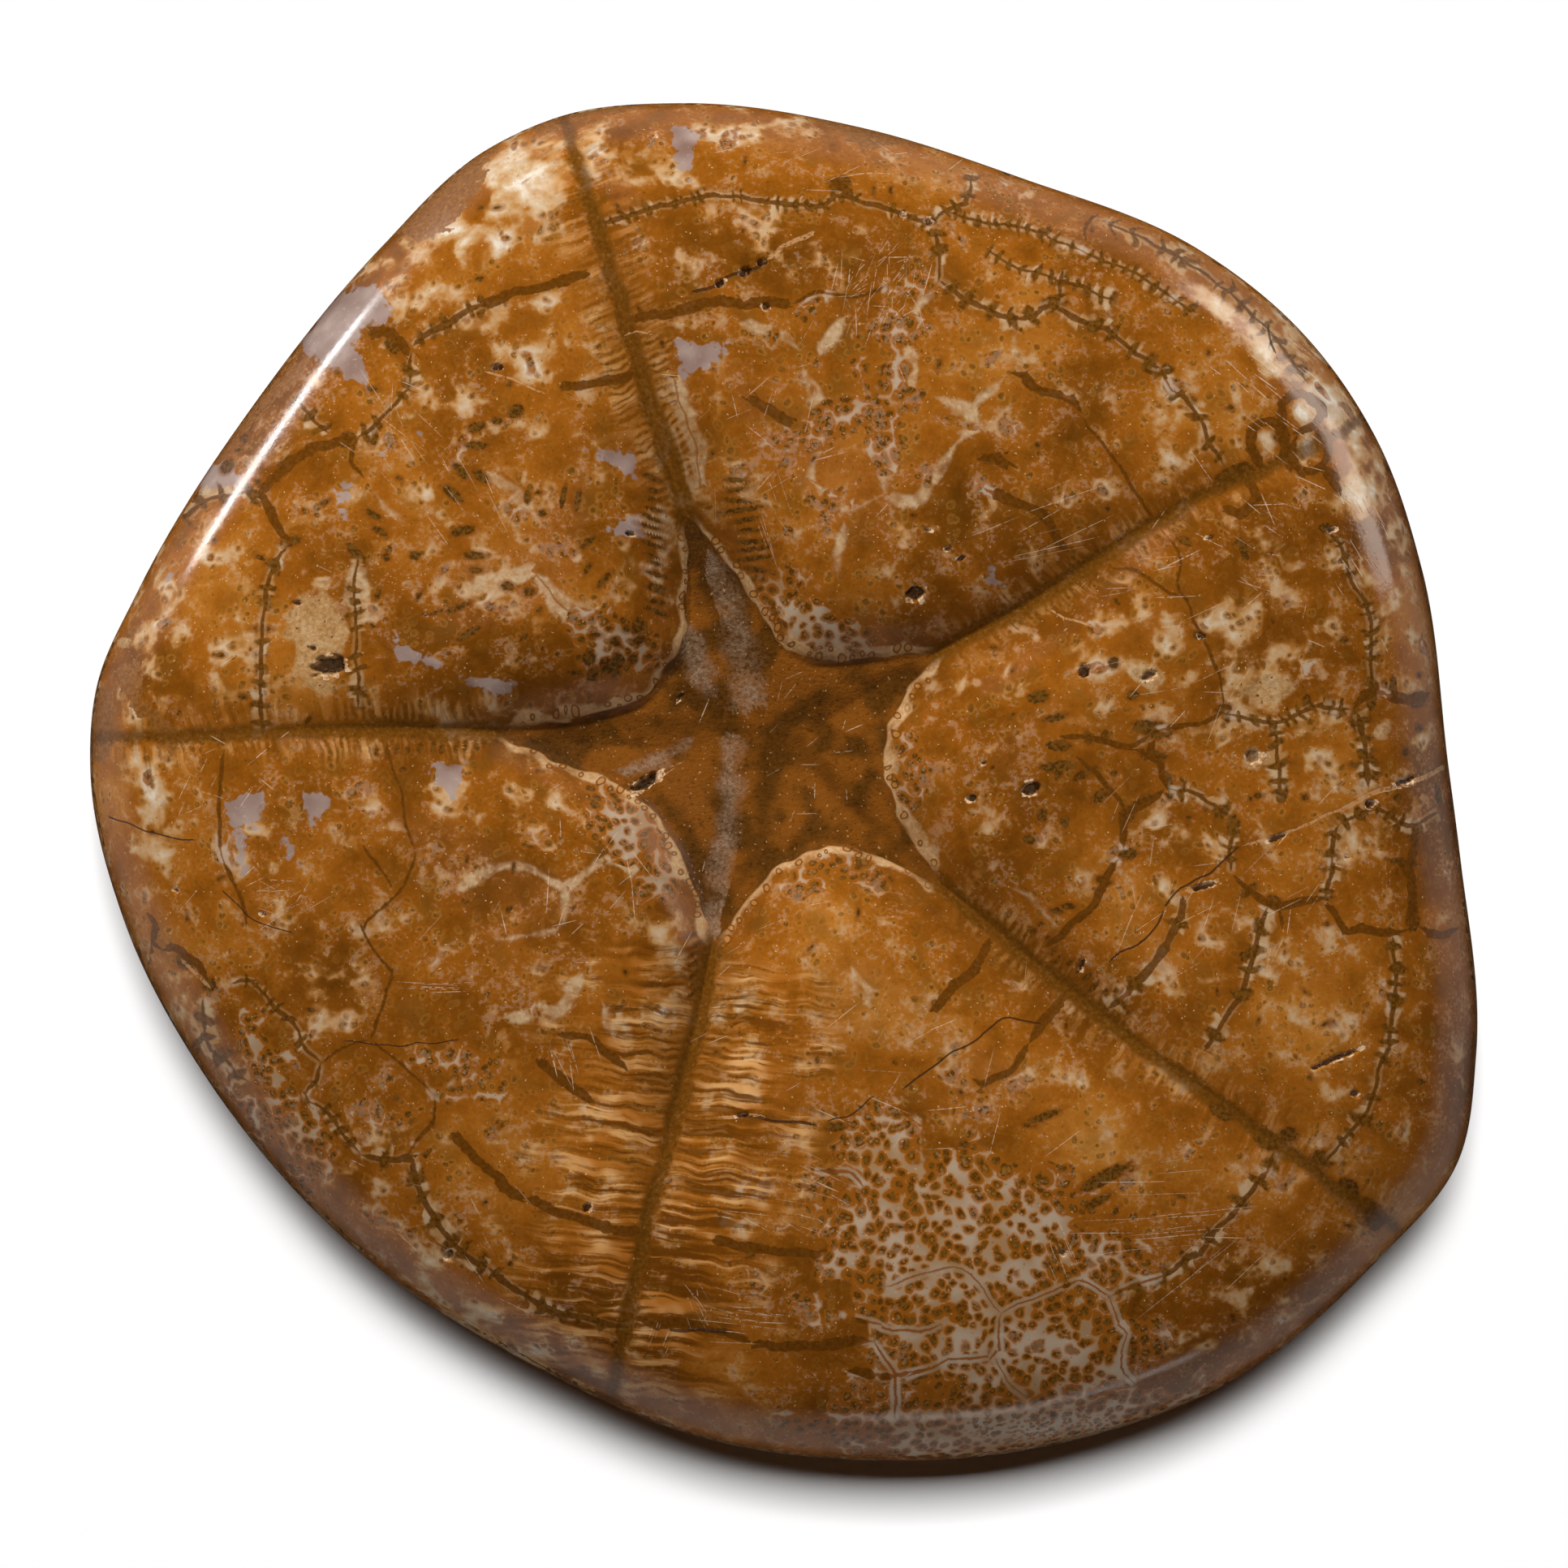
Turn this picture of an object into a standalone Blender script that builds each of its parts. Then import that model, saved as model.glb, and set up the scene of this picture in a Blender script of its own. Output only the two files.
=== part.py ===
"""A polished fossil sea urchin, lying on the worn top of its dome with its mouth side up.

The shell and the hardened sediment inside it are one stone, so the part is one solid. Its mesh is made
of rings of points: out from the middle of the mouth hollow to the rim, then down the dome to the foot.
The spokes between the rings follow the five grooves, so the mesh has edges along each groove and along
the lip of the hollow.
"""

import math

import bmesh
import bpy
import numpy as np

MM = 0.001

# Overall sizes
HEIGHT = 29.0 * MM
RIM_HEIGHT = 19.5 * MM  # the widest ring, above the foot
FOOT_RADIUS = 11.0 * MM
FOOT_CENTRE = (0.5 * MM, -0.5 * MM)
MOUTH_CENTRE = (-1.5 * MM, 1.0 * MM)

# The rim seen from above, counter-clockwise
RIM_POINTS_MM = [
    (41.7, -5.0), (41.0, 0.6), (39.4, 12.9), (36.6, 21.0), (32.0, 27.6), (25.8, 32.6), (15.0, 37.0),
    (4.9, 40.2), (-6.2, 41.7), (-13.5, 40.9), (-18.0, 38.9), (-24.6, 32.8), (-31.9, 23.8),
    (-39.6, 11.4), (-42.0, 5.8), (-42.4, 0.6), (-40.4, -8.4), (-35.1, -18.5), (-24.6, -30.0),
    (-14.8, -36.1), (-4.9, -40.3), (5.0, -41.7), (17.8, -40.5), (27.7, -36.8), (36.6, -29.4),
    (41.5, -23.4), (42.6, -17.0),
]

# The five grooves, each from the tip of the mouth hollow out to the rim
GROOVE_POINTS_MM = [
    [(9.3, 7.2), (14.5, 9.9), (20.0, 13.5), (25.0, 16.5), (29.8, 18.6)],
    [(-5.8, 15.8), (-7.5, 21.0), (-9.3, 27.0), (-11.5, 34.5)],
    [(-17.5, 2.5), (-25.0, 2.6), (-36.7, 2.2)],
    [(-4.1, -10.3), (-5.0, -15.0), (-6.2, -20.0), (-7.7, -26.0), (-9.7, -34.8)],
    [(9.6, -6.7), (14.0, -10.5), (20.0, -15.3), (25.0, -19.0), (36.8, -27.1)],
]

# The lobe after each groove: the least radius of the hollow there, where that nose stands between
# the two grooves (0 to 1), and how sharply the lip bends towards each groove
LOBE_NOSES = [
    (6.9 * MM, 0.45, 2.0, 2.6),
    (7.7 * MM, 0.45, 3.3, 4.0),
    (7.1 * MM, 0.52, 3.7, 2.8),
    (6.6 * MM, 0.48, 2.15, 5.0),
    (7.9 * MM, 0.55, 3.0, 2.5),
]

# The mouth face: how square its shoulder is, and the grooves that cross it
SHOULDER_POWER = 5.0
GROOVE_START = 0.25  # as a share of the rim's radius
GROOVE_DEPTH = 3.2 * MM
GROOVE_DEPTH_AT_RIM = 0.3 * MM
GROOVE_HALF_WIDTH = 8.0 * MM
GROOVE_HALF_WIDTH_AT_RIM = 3.0 * MM
GROOVE_FADE = 1.7
GROOVE_ROUNDING = 2.2
LIP_STEP = 0.5 * MM
TIP_REACH = 2.5 * MM  # how far from a tip of the hollow that step has grown to most of its height
HOLLOW_SAG = 1.2 * MM
HOLLOW_SAG_REACH = 3.5 * MM  # how far in from the lip the floor has sunk by most of that

# Slow waves that hand polishing leaves: height, and waves per metre along X and Y, with a phase
POLISH_WAVES = [
    (0.16 * MM, 190.0, 70.0, 0.4),
    (0.13 * MM, -90.0, 230.0, 1.9),
    (0.09 * MM, 310.0, -250.0, 3.1),
]

# The dome: how full it is, and the five petals on it
DOME_ROUNDING = 1.3
DOME_FULLNESS = 1.1
PETAL_START = 0.16  # along the dome, as a share of the way from the rim to the foot
PETAL_END = 0.96
PETAL_HALF_WIDTH = 5.4 * MM
PETAL_HEIGHT = 0.35 * MM
PETAL_BORDER_DEPTH = 0.35 * MM
PETAL_BORDER_WIDTH = 1.3 * MM

# Mesh counts
SPOKES_PER_LOBE = 22
LIP_SAMPLES_PER_LOBE = 24
HOLLOW_SHARES = (0.28, 0.56, 0.8, 0.965)
FACE_RINGS = 20
DOME_RINGS = 14
SPOKE_CROWDING = 0.72  # how far the spokes crowd towards the grooves
RING_CROWDING = 0.86  # how far the rings crowd towards the lip and the rim


def to_polar(point_mm):
    """The angle and the distance of a point in millimetres from the middle of the mouth."""
    across = point_mm[0] * MM - MOUTH_CENTRE[0]
    along = point_mm[1] * MM - MOUTH_CENTRE[1]
    return math.atan2(along, across), math.hypot(across, along)


def rim_radius(angle):
    """The rim's distance from the middle of the mouth, on a smooth curve through its points."""
    polar = sorted(to_polar(point) for point in RIM_POINTS_MM)
    knots = np.array([a for a, _ in polar])
    radii = np.array([r for _, r in polar])
    turn = 2 * math.pi
    knots = np.concatenate([knots[-2:] - turn, knots, knots[:2] + turn])
    radii = np.concatenate([radii[-2:], radii, radii[:2]])
    slopes = np.gradient(radii, knots)
    angle = np.mod(angle + math.pi, turn) - math.pi
    left = np.clip(np.searchsorted(knots, angle) - 1, 0, len(knots) - 2)
    span = knots[left + 1] - knots[left]
    u = (angle - knots[left]) / span
    return (
        (2 * u**3 - 3 * u**2 + 1) * radii[left]
        + (u**3 - 2 * u**2 + u) * span * slopes[left]
        + (3 * u**2 - 2 * u**3) * radii[left + 1]
        + (u**3 - u**2) * span * slopes[left + 1]
    )


def groove_angle(number, share):
    """The direction of a groove, at a share of the way from the middle of the mouth to the rim."""
    polar = [to_polar(point) for point in GROOVE_POINTS_MM[number % 5]]
    first = polar[0][0]
    angles = [first + math.remainder(a - first, 2 * math.pi) for a, _ in polar]
    shares = [r / float(rim_radius(np.array(a))) for a, r in polar]
    return np.interp(share, shares, angles)


def spoke_angle(lobe, fraction, share):
    """The direction of a spoke that stands between the two grooves beside a lobe."""
    start = groove_angle(lobe, share)
    width = np.mod(groove_angle(lobe + 1, share) - start, 2 * math.pi)
    return start + width * fraction


def tip_radius(number):
    """How far a groove's inner end, a tip of the star-shaped hollow, is from its middle."""
    return to_polar(GROOVE_POINTS_MM[number % 5][0])[1]


def lip_radius(lobe, fraction):
    """The radius of the hollow's lip along a lobe: least at its nose, most at the grooves."""
    nose, middle, before, after = LOBE_NOSES[lobe]
    to_start = np.clip((middle - fraction) / middle, 0, 1) ** before
    to_end = np.clip((fraction - middle) / (1 - middle), 0, 1) ** after
    return nose + (tip_radius(lobe) - nose) * to_start + (tip_radius(lobe + 1) - nose) * to_end


def plan_point(lobe, fraction, share):
    """The place seen from above of a point on a spoke, as an array of X and Y."""
    angle = spoke_angle(lobe, fraction, share)
    radius = share * rim_radius(angle)
    x = MOUTH_CENTRE[0] + radius * np.cos(angle)
    y = MOUTH_CENTRE[1] + radius * np.sin(angle)
    return np.stack([x, y], axis=-1)


def lip_share(lobe, fraction):
    """The lip's radius as a share of the rim's."""
    share = 0.3
    for _ in range(3):
        share = lip_radius(lobe, fraction) / rim_radius(spoke_angle(lobe, fraction, share))
    return share


def valley_lines():
    """Short straight lines, from and to, along the lip of the hollow and the five grooves."""
    starts, ends = [], []
    for lobe in range(5):
        fractions = np.linspace(0, 1, LIP_SAMPLES_PER_LOBE + 1)
        lip = plan_point(lobe, fractions, lip_share(lobe, fractions))
        tip = float(lip_share(lobe, np.array(0.0)))
        groove = plan_point(lobe, np.zeros(12), np.linspace(tip, 1, 12))
        for line in (lip, groove):
            starts.append(line[:-1])
            ends.append(line[1:])
    return np.concatenate(starts), np.concatenate(ends)


def distance_to_valleys(points, lines):
    """How far each point is, seen from above, from the nearest groove or the lip."""
    starts, ends = lines
    along = ends - starts
    offset = points[:, None, :] - starts[None]
    reach = np.clip((offset * along).sum(-1) / (along**2).sum(-1), 0, 1)
    return np.linalg.norm(offset - reach[..., None] * along, axis=-1).min(axis=1)


def polish_waves(points):
    """The slow unevenness of the hand-polished face."""
    height = np.zeros(len(points))
    for size, per_x, per_y, phase in POLISH_WAVES:
        height += size * np.sin(per_x * points[:, 0] + per_y * points[:, 1] + phase)
    return height


def cushion_height(share):
    """The mouth face without its grooves: level in the middle, rounding down to the rim."""
    return RIM_HEIGHT + (HEIGHT - RIM_HEIGHT) * np.sqrt(np.clip(1 - share**SHOULDER_POWER, 0, 1))


def groove_sizes(share):
    """A groove's depth and half width, which fade on the way out to the rim."""
    fade = 1 - np.clip((share - GROOVE_START) / (1 - GROOVE_START), 0, 1)
    depth = GROOVE_DEPTH_AT_RIM + (GROOVE_DEPTH - GROOVE_DEPTH_AT_RIM) * fade**GROOVE_FADE
    spread = GROOVE_HALF_WIDTH - GROOVE_HALF_WIDTH_AT_RIM
    return depth, GROOVE_HALF_WIDTH_AT_RIM + spread * fade


def face_height(points, share, lines):
    """The height of points on the lobes of the mouth face."""
    depth, half_width = groove_sizes(share)
    away = np.clip(distance_to_valleys(points, lines) / half_width, 0, 1)
    rim_fade = 1 - share**8
    valley = depth * (1 - away) ** GROOVE_ROUNDING
    return cushion_height(share) - (valley - polish_waves(points)) * rim_fade


def rise_over(distance, reach):
    """A soft rise from 0 to 1 as a distance grows past a reach."""
    return 1 - np.exp(-((distance / reach) ** 2))


def hollow_height(points, share, lines):
    """The height of points on the floor of the mouth hollow.

    The floor lies a step below the lip, but level with it at the five tips, and sinks away from it."""
    depth, _ = groove_sizes(share)
    tips = np.array([plan_point(n, np.array(0.0), lip_share(n, np.array(0.0))) for n in range(5)])
    from_tip = np.linalg.norm(points[:, None] - tips[None], axis=-1).min(axis=1)
    step = LIP_STEP * rise_over(from_tip, TIP_REACH)
    sag = HOLLOW_SAG * rise_over(distance_to_valleys(points, lines), HOLLOW_SAG_REACH)
    return cushion_height(share) - depth - step - sag + polish_waves(points)


def petal_relief(rim_points, place, down):
    """How far the petals and their sunken borders stand out of the dome.

    rim_points says where each spoke starts on the rim, place is the point itself and down is its share
    of the way from the rim to the foot."""
    relief = np.zeros(len(place))
    along = np.clip((down - PETAL_START) / (PETAL_END - PETAL_START), 0, 1)
    half_width = PETAL_HALF_WIDTH * np.sin(math.pi * along**0.8) ** 0.7
    foot = np.array(FOOT_CENTRE)
    for number in range(5):
        end = plan_point(number, np.array(0.0), np.array(1.0)) - foot
        direction = end / np.linalg.norm(end)
        offset = place[:, :2] - foot
        across = np.abs(offset @ np.array([-direction[1], direction[0]]))
        ahead = (rim_points - foot) @ direction > 0
        raised = PETAL_HEIGHT * np.clip(1 - across / np.maximum(half_width, 0.1 * MM), 0, 1) ** 0.5
        border = PETAL_BORDER_DEPTH * np.exp(-(((across - half_width) / PETAL_BORDER_WIDTH) ** 2))
        relief += (raised - border) * ahead * np.sin(math.pi * along) ** 1.5
    return relief


def dome_points(rim_points, down):
    """Points on the dome under the rim, at a share of the way down to the foot."""
    foot = np.array(FOOT_CENTRE)
    outward = (rim_points - foot) / np.linalg.norm(rim_points - foot, axis=1)[:, None]
    foot_points = foot + FOOT_RADIUS * outward
    quarter = down * math.pi / 2
    spread = math.cos(quarter) ** DOME_ROUNDING if down < 1 else 0.0
    plan = foot_points + (rim_points - foot_points) * spread
    height = RIM_HEIGHT * (1 - math.sin(quarter) ** DOME_FULLNESS)
    points = np.column_stack([plan, np.full(len(plan), height)])
    if down < 1:
        core = np.array([*FOOT_CENTRE, RIM_HEIGHT])
        away = points - core
        away /= np.linalg.norm(away, axis=1)[:, None]
        points += away * petal_relief(rim_points, points, np.full(len(plan), down))[:, None]
    return points


def crowd(steps, amount):
    """Steps from 0 to 1 that crowd towards both ends."""
    even = np.arange(steps + 1) / steps
    return even - amount * np.sin(2 * math.pi * even) / (2 * math.pi)


def make_rings():
    """Every ring of points, from the middle of the mouth out and down to the foot."""
    fractions = crowd(SPOKES_PER_LOBE, SPOKE_CROWDING)[:-1]
    lobes = np.repeat(np.arange(5), SPOKES_PER_LOBE)
    fractions = np.tile(fractions, 5)
    lines = valley_lines()

    def on_spokes(function, share):
        parts = [
            function(lobe, fractions[lobes == lobe], share[lobes == lobe]) for lobe in range(5)
        ]
        return np.concatenate(parts)

    lip = np.concatenate([lip_share(lobe, fractions[lobes == lobe]) for lobe in range(5)])
    rings = []
    for part in HOLLOW_SHARES:
        share = lip * part
        plan = on_spokes(plan_point, share)
        height = hollow_height(plan, share, lines)
        rings.append(np.column_stack([plan, height]))
    for part in crowd(FACE_RINGS, RING_CROWDING):
        share = lip + (1 - lip) * part
        plan = on_spokes(plan_point, share)
        rings.append(np.column_stack([plan, face_height(plan, share, lines)]))
    rim_points = rings[-1][:, :2]
    for step in range(1, DOME_RINGS + 1):
        rings.append(dome_points(rim_points, step / DOME_RINGS))
    return rings


def centre_on_origin(rings):
    """Moves the rings sideways, so that the middle of the part's box is over the origin."""
    everything = np.concatenate(rings)
    middle = (everything.min(axis=0) + everything.max(axis=0)) / 2
    return [ring - np.array([middle[0], middle[1], 0.0]) for ring in rings], middle


def make_solid(name):
    """Joins the rings into one closed body, with a middle point in the hollow and a flat foot."""
    rings, middle = centre_on_origin(make_rings())
    centre = np.array([[*MOUTH_CENTRE]])
    zero = np.zeros(1)
    centre_height = hollow_height(centre, zero, valley_lines())[0]
    shape = bmesh.new()
    hub = shape.verts.new((centre[0][0] - middle[0], centre[0][1] - middle[1], centre_height))
    loops = [[shape.verts.new(point) for point in ring] for ring in rings]
    count = len(loops[0])
    for spoke in range(count):
        shape.faces.new((hub, loops[0][spoke], loops[0][(spoke + 1) % count]))
    for inner, outer in zip(loops, loops[1:]):
        for spoke in range(count):
            following = (spoke + 1) % count
            shape.faces.new((inner[spoke], outer[spoke], outer[following], inner[following]))
    shape.faces.new(list(reversed(loops[-1])))
    bmesh.ops.recalc_face_normals(shape, faces=shape.faces)
    mesh = bpy.data.meshes.new(name)
    shape.to_mesh(mesh)
    shape.free()
    mesh.shade_smooth()
    mesh.set_sharp_from_angle(angle=math.radians(50))
    solid = bpy.data.objects.new(name, mesh)
    bpy.context.scene.collection.objects.link(solid)
    return solid


def polished_stone():
    """Amber-brown polished calcite."""
    material = bpy.data.materials.new("polished_stone")
    material.use_nodes = True
    shader = material.node_tree.nodes["Principled BSDF"]
    shader.inputs["Base Color"].default_value = (0.36, 0.13, 0.03, 1.0)
    shader.inputs["Roughness"].default_value = 0.22
    shader.inputs["Metallic"].default_value = 0.0
    return material


def main():
    """Clears the scene and makes the fossil."""
    for item in list(bpy.data.objects):
        bpy.data.objects.remove(item, do_unlink=True)
    fossil = make_solid("fossil_sea_urchin")
    fossil.data.materials.append(polished_stone())


main()
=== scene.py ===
"""A polished fossil sea urchin, lying on its dome with its star-shaped mouth side up.

The stone is one mesh. Its shell plates, seams, veins and cracks are lines and outlines kept as numbers on
the mesh, which the finish turns into colour, polish and relief.
"""

from __future__ import annotations

import logging
import math
from dataclasses import dataclass, field
from enum import Enum
from typing import Any, Iterable, Sequence

import bmesh
import bpy
import numpy as np
from mathutils import Matrix, Vector, noise


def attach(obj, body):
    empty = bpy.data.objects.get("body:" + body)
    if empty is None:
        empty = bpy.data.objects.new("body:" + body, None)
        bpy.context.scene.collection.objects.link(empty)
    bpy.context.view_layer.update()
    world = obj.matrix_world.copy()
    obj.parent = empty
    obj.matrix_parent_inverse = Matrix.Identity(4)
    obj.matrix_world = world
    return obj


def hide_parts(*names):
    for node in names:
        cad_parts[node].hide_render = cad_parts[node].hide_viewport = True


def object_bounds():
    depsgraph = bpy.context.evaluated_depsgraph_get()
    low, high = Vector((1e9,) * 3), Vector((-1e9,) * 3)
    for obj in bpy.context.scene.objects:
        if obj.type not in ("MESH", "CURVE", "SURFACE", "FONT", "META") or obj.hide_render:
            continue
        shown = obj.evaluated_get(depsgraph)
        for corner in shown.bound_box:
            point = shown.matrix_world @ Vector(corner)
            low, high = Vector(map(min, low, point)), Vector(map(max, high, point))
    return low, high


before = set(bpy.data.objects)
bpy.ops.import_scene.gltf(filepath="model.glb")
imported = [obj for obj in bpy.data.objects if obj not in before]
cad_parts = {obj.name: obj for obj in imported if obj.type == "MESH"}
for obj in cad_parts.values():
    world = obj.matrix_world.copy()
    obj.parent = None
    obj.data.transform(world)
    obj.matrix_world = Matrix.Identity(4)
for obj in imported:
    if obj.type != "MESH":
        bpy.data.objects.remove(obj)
cad_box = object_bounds()

MM = 0.001
TURN = 2 * math.pi
NODE = "fossil_sea_urchin"

Point = tuple[float, float]
log = logging.getLogger("fossil")


# ---------------------------------------------------------------------------------------------------
# The form of the stone
# ---------------------------------------------------------------------------------------------------

HEIGHT = 29.0 * MM
RIM_HEIGHT = 19.5 * MM
FOOT_RADIUS = 11.0 * MM
FOOT_CENTRE = (0.5 * MM, -0.5 * MM)
MOUTH_CENTRE = (-1.5 * MM, 1.0 * MM)

RIM_POINTS_MM: list[Point] = [
    (41.7, -5.0), (41.0, 0.6), (39.4, 12.9), (36.6, 21.0), (32.0, 27.6), (25.8, 32.6), (15.0, 37.0),
    (4.9, 40.2), (-6.2, 41.7), (-13.5, 40.9), (-18.0, 38.9), (-24.6, 32.8), (-31.9, 23.8),
    (-39.6, 11.4), (-42.0, 5.8), (-42.4, 0.6), (-40.4, -8.4), (-35.1, -18.5), (-24.6, -30.0),
    (-14.8, -36.1), (-4.9, -40.3), (5.0, -41.7), (17.8, -40.5), (27.7, -36.8), (36.6, -29.4),
    (41.5, -23.4), (42.6, -17.0),
]
GROOVE_POINTS_MM: list[list[Point]] = [
    [(9.3, 7.2), (14.5, 9.9), (20.0, 13.5), (25.0, 16.5), (29.8, 18.6)],
    [(-5.8, 15.8), (-7.5, 21.0), (-9.3, 27.0), (-11.5, 34.5)],
    [(-17.5, 2.5), (-25.0, 2.6), (-36.7, 2.2)],
    [(-4.1, -10.3), (-5.0, -15.0), (-6.2, -20.0), (-7.7, -26.0), (-9.7, -34.8)],
    [(9.6, -6.7), (14.0, -10.5), (20.0, -15.3), (25.0, -19.0), (36.8, -27.1)],
]
# Least radius of the hollow at each lobe's nose, where it stands, and how the lip bends to each side
LOBE_NOSES = [
    (6.9 * MM, 0.45, 2.0, 2.6),
    (7.7 * MM, 0.45, 3.3, 4.0),
    (7.1 * MM, 0.52, 3.7, 2.8),
    (6.6 * MM, 0.48, 2.15, 5.0),
    (7.9 * MM, 0.55, 3.0, 2.5),
]
SHOULDER_POWER = 5.0
GROOVE_START = 0.25
GROOVE_DEPTH = 3.2 * MM
GROOVE_DEPTH_AT_RIM = 0.3 * MM
GROOVE_HALF_WIDTH = 8.0 * MM
GROOVE_HALF_WIDTH_AT_RIM = 3.0 * MM
GROOVE_FADE = 1.7
GROOVE_ROUNDING = 2.2
LIP_STEP = 0.5 * MM
TIP_REACH = 2.5 * MM
HOLLOW_SAG = 1.2 * MM
HOLLOW_SAG_REACH = 3.5 * MM
POLISH_WAVES = [
    (0.16 * MM, 190.0, 70.0, 0.4),
    (0.13 * MM, -90.0, 230.0, 1.9),
    (0.09 * MM, 310.0, -250.0, 3.1),
]
DOME_ROUNDING = 1.3
DOME_FULLNESS = 1.1
PETAL_START = 0.16
PETAL_END = 0.96
PETAL_HALF_WIDTH = 5.4 * MM
PETAL_HEIGHT = 0.35 * MM
PETAL_BORDER_DEPTH = 0.35 * MM
PETAL_BORDER_WIDTH = 1.3 * MM

SPOKES_PER_LOBE = 98
LIP_SAMPLES_PER_LOBE = 40
HOLLOW_RINGS = 22
FACE_RINGS = 88
DOME_RINGS = 56
FOOT_RINGS = 8
SPOKE_CROWDING = 0.3
RING_CROWDING = 0.45


def to_polar(point_mm: Point) -> Point:
    """The angle and the distance of a point in millimetres from the middle of the mouth."""
    across = point_mm[0] * MM - MOUTH_CENTRE[0]
    along = point_mm[1] * MM - MOUTH_CENTRE[1]
    return math.atan2(along, across), math.hypot(across, along)


def crowd(steps: int, amount: float) -> np.ndarray:
    """Steps from 0 to 1 that crowd towards both ends."""
    even = np.arange(steps + 1) / steps
    return even - amount * np.sin(TURN * even) / TURN


class StoneShape:
    """The stone's surface as rings of points, from the middle of the mouth out and down to the foot."""

    def __init__(self) -> None:
        polar = sorted(to_polar(point) for point in RIM_POINTS_MM)
        knots = np.array([a for a, _ in polar])
        radii = np.array([r for _, r in polar])
        self.knots = np.concatenate([knots[-2:] - TURN, knots, knots[:2] + TURN])
        self.radii = np.concatenate([radii[-2:], radii, radii[:2]])
        self.slopes = np.gradient(self.radii, self.knots)
        self.lines = self.valley_lines()

    def rim_radius(self, angle: np.ndarray) -> np.ndarray:
        """The rim's distance from the middle of the mouth."""
        angle = np.mod(angle + math.pi, TURN) - math.pi
        left = np.clip(np.searchsorted(self.knots, angle) - 1, 0, len(self.knots) - 2)
        span = self.knots[left + 1] - self.knots[left]
        u = (angle - self.knots[left]) / span
        return (
            (2 * u**3 - 3 * u**2 + 1) * self.radii[left]
            + (u**3 - 2 * u**2 + u) * span * self.slopes[left]
            + (3 * u**2 - 2 * u**3) * self.radii[left + 1]
            + (u**3 - u**2) * span * self.slopes[left + 1]
        )

    def groove_angle(self, number: int, share: np.ndarray) -> np.ndarray:
        """The direction of a groove, at a share of the way out to the rim."""
        polar = [to_polar(point) for point in GROOVE_POINTS_MM[number % 5]]
        first = polar[0][0]
        angles = [first + math.remainder(a - first, TURN) for a, _ in polar]
        shares = [r / float(self.rim_radius(np.array(a))) for a, r in polar]
        return np.interp(share, shares, angles)

    def spoke_angle(self, lobe: int, fraction: np.ndarray, share: np.ndarray) -> np.ndarray:
        """The direction of a spoke that stands between the two grooves beside a lobe."""
        start = self.groove_angle(lobe, share)
        width = np.mod(self.groove_angle(lobe + 1, share) - start, TURN)
        return start + width * fraction

    def lip_radius(self, lobe: int, fraction: np.ndarray) -> np.ndarray:
        """The radius of the hollow's lip along a lobe."""
        nose, middle, before, after = LOBE_NOSES[lobe]
        first = to_polar(GROOVE_POINTS_MM[lobe][0])[1]
        last = to_polar(GROOVE_POINTS_MM[(lobe + 1) % 5][0])[1]
        to_start = np.clip((middle - fraction) / middle, 0, 1) ** before
        to_end = np.clip((fraction - middle) / (1 - middle), 0, 1) ** after
        return nose + (first - nose) * to_start + (last - nose) * to_end

    def plan_point(self, lobe: int, fraction: np.ndarray, share: np.ndarray) -> np.ndarray:
        """The place seen from above of a point on a spoke, as X and Y."""
        angle = self.spoke_angle(lobe, fraction, share)
        radius = share * self.rim_radius(angle)
        x = MOUTH_CENTRE[0] + radius * np.cos(angle)
        y = MOUTH_CENTRE[1] + radius * np.sin(angle)
        return np.stack([x, y], axis=-1)

    def lip_share(self, lobe: int, fraction: np.ndarray) -> np.ndarray:
        """The lip's radius as a share of the rim's."""
        share: Any = 0.3
        for _ in range(3):
            share = self.lip_radius(lobe, fraction) / self.rim_radius(
                self.spoke_angle(lobe, fraction, share)
            )
        return share

    def lip_line(self, lobe: int) -> np.ndarray:
        """Points along the lip of one lobe."""
        fractions = np.linspace(0, 1, LIP_SAMPLES_PER_LOBE + 1)
        return self.plan_point(lobe, fractions, self.lip_share(lobe, fractions))

    def groove_line(self, number: int, count: int = 12) -> np.ndarray:
        """Points along one groove, from the tip of the hollow to the rim."""
        tip = float(self.lip_share(number, np.array(0.0)))
        return self.plan_point(number, np.zeros(count), np.linspace(tip, 1, count))

    def valley_lines(self) -> tuple[np.ndarray, np.ndarray]:
        """Short straight lines, from and to, along the lip and the five grooves."""
        starts, ends = [], []
        for lobe in range(5):
            for line in (self.lip_line(lobe), self.groove_line(lobe)):
                starts.append(line[:-1])
                ends.append(line[1:])
        return np.concatenate(starts), np.concatenate(ends)

    def distance_to_valleys(self, points: np.ndarray) -> np.ndarray:
        """How far each point is, seen from above, from the nearest groove or the lip."""
        starts, ends = self.lines
        along = ends - starts
        offset = points[:, None, :] - starts[None]
        reach = np.clip((offset * along).sum(-1) / (along**2).sum(-1), 0, 1)
        return np.linalg.norm(offset - reach[..., None] * along, axis=-1).min(axis=1)

    @staticmethod
    def polish_waves(points: np.ndarray) -> np.ndarray:
        """The slow unevenness of the hand-polished face."""
        height = np.zeros(len(points))
        for size, per_x, per_y, phase in POLISH_WAVES:
            height += size * np.sin(per_x * points[:, 0] + per_y * points[:, 1] + phase)
        return height

    @staticmethod
    def cushion_height(share: np.ndarray) -> np.ndarray:
        """The mouth face without its grooves."""
        drop = np.sqrt(np.clip(1 - share**SHOULDER_POWER, 0, 1))
        return RIM_HEIGHT + (HEIGHT - RIM_HEIGHT) * drop

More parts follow.
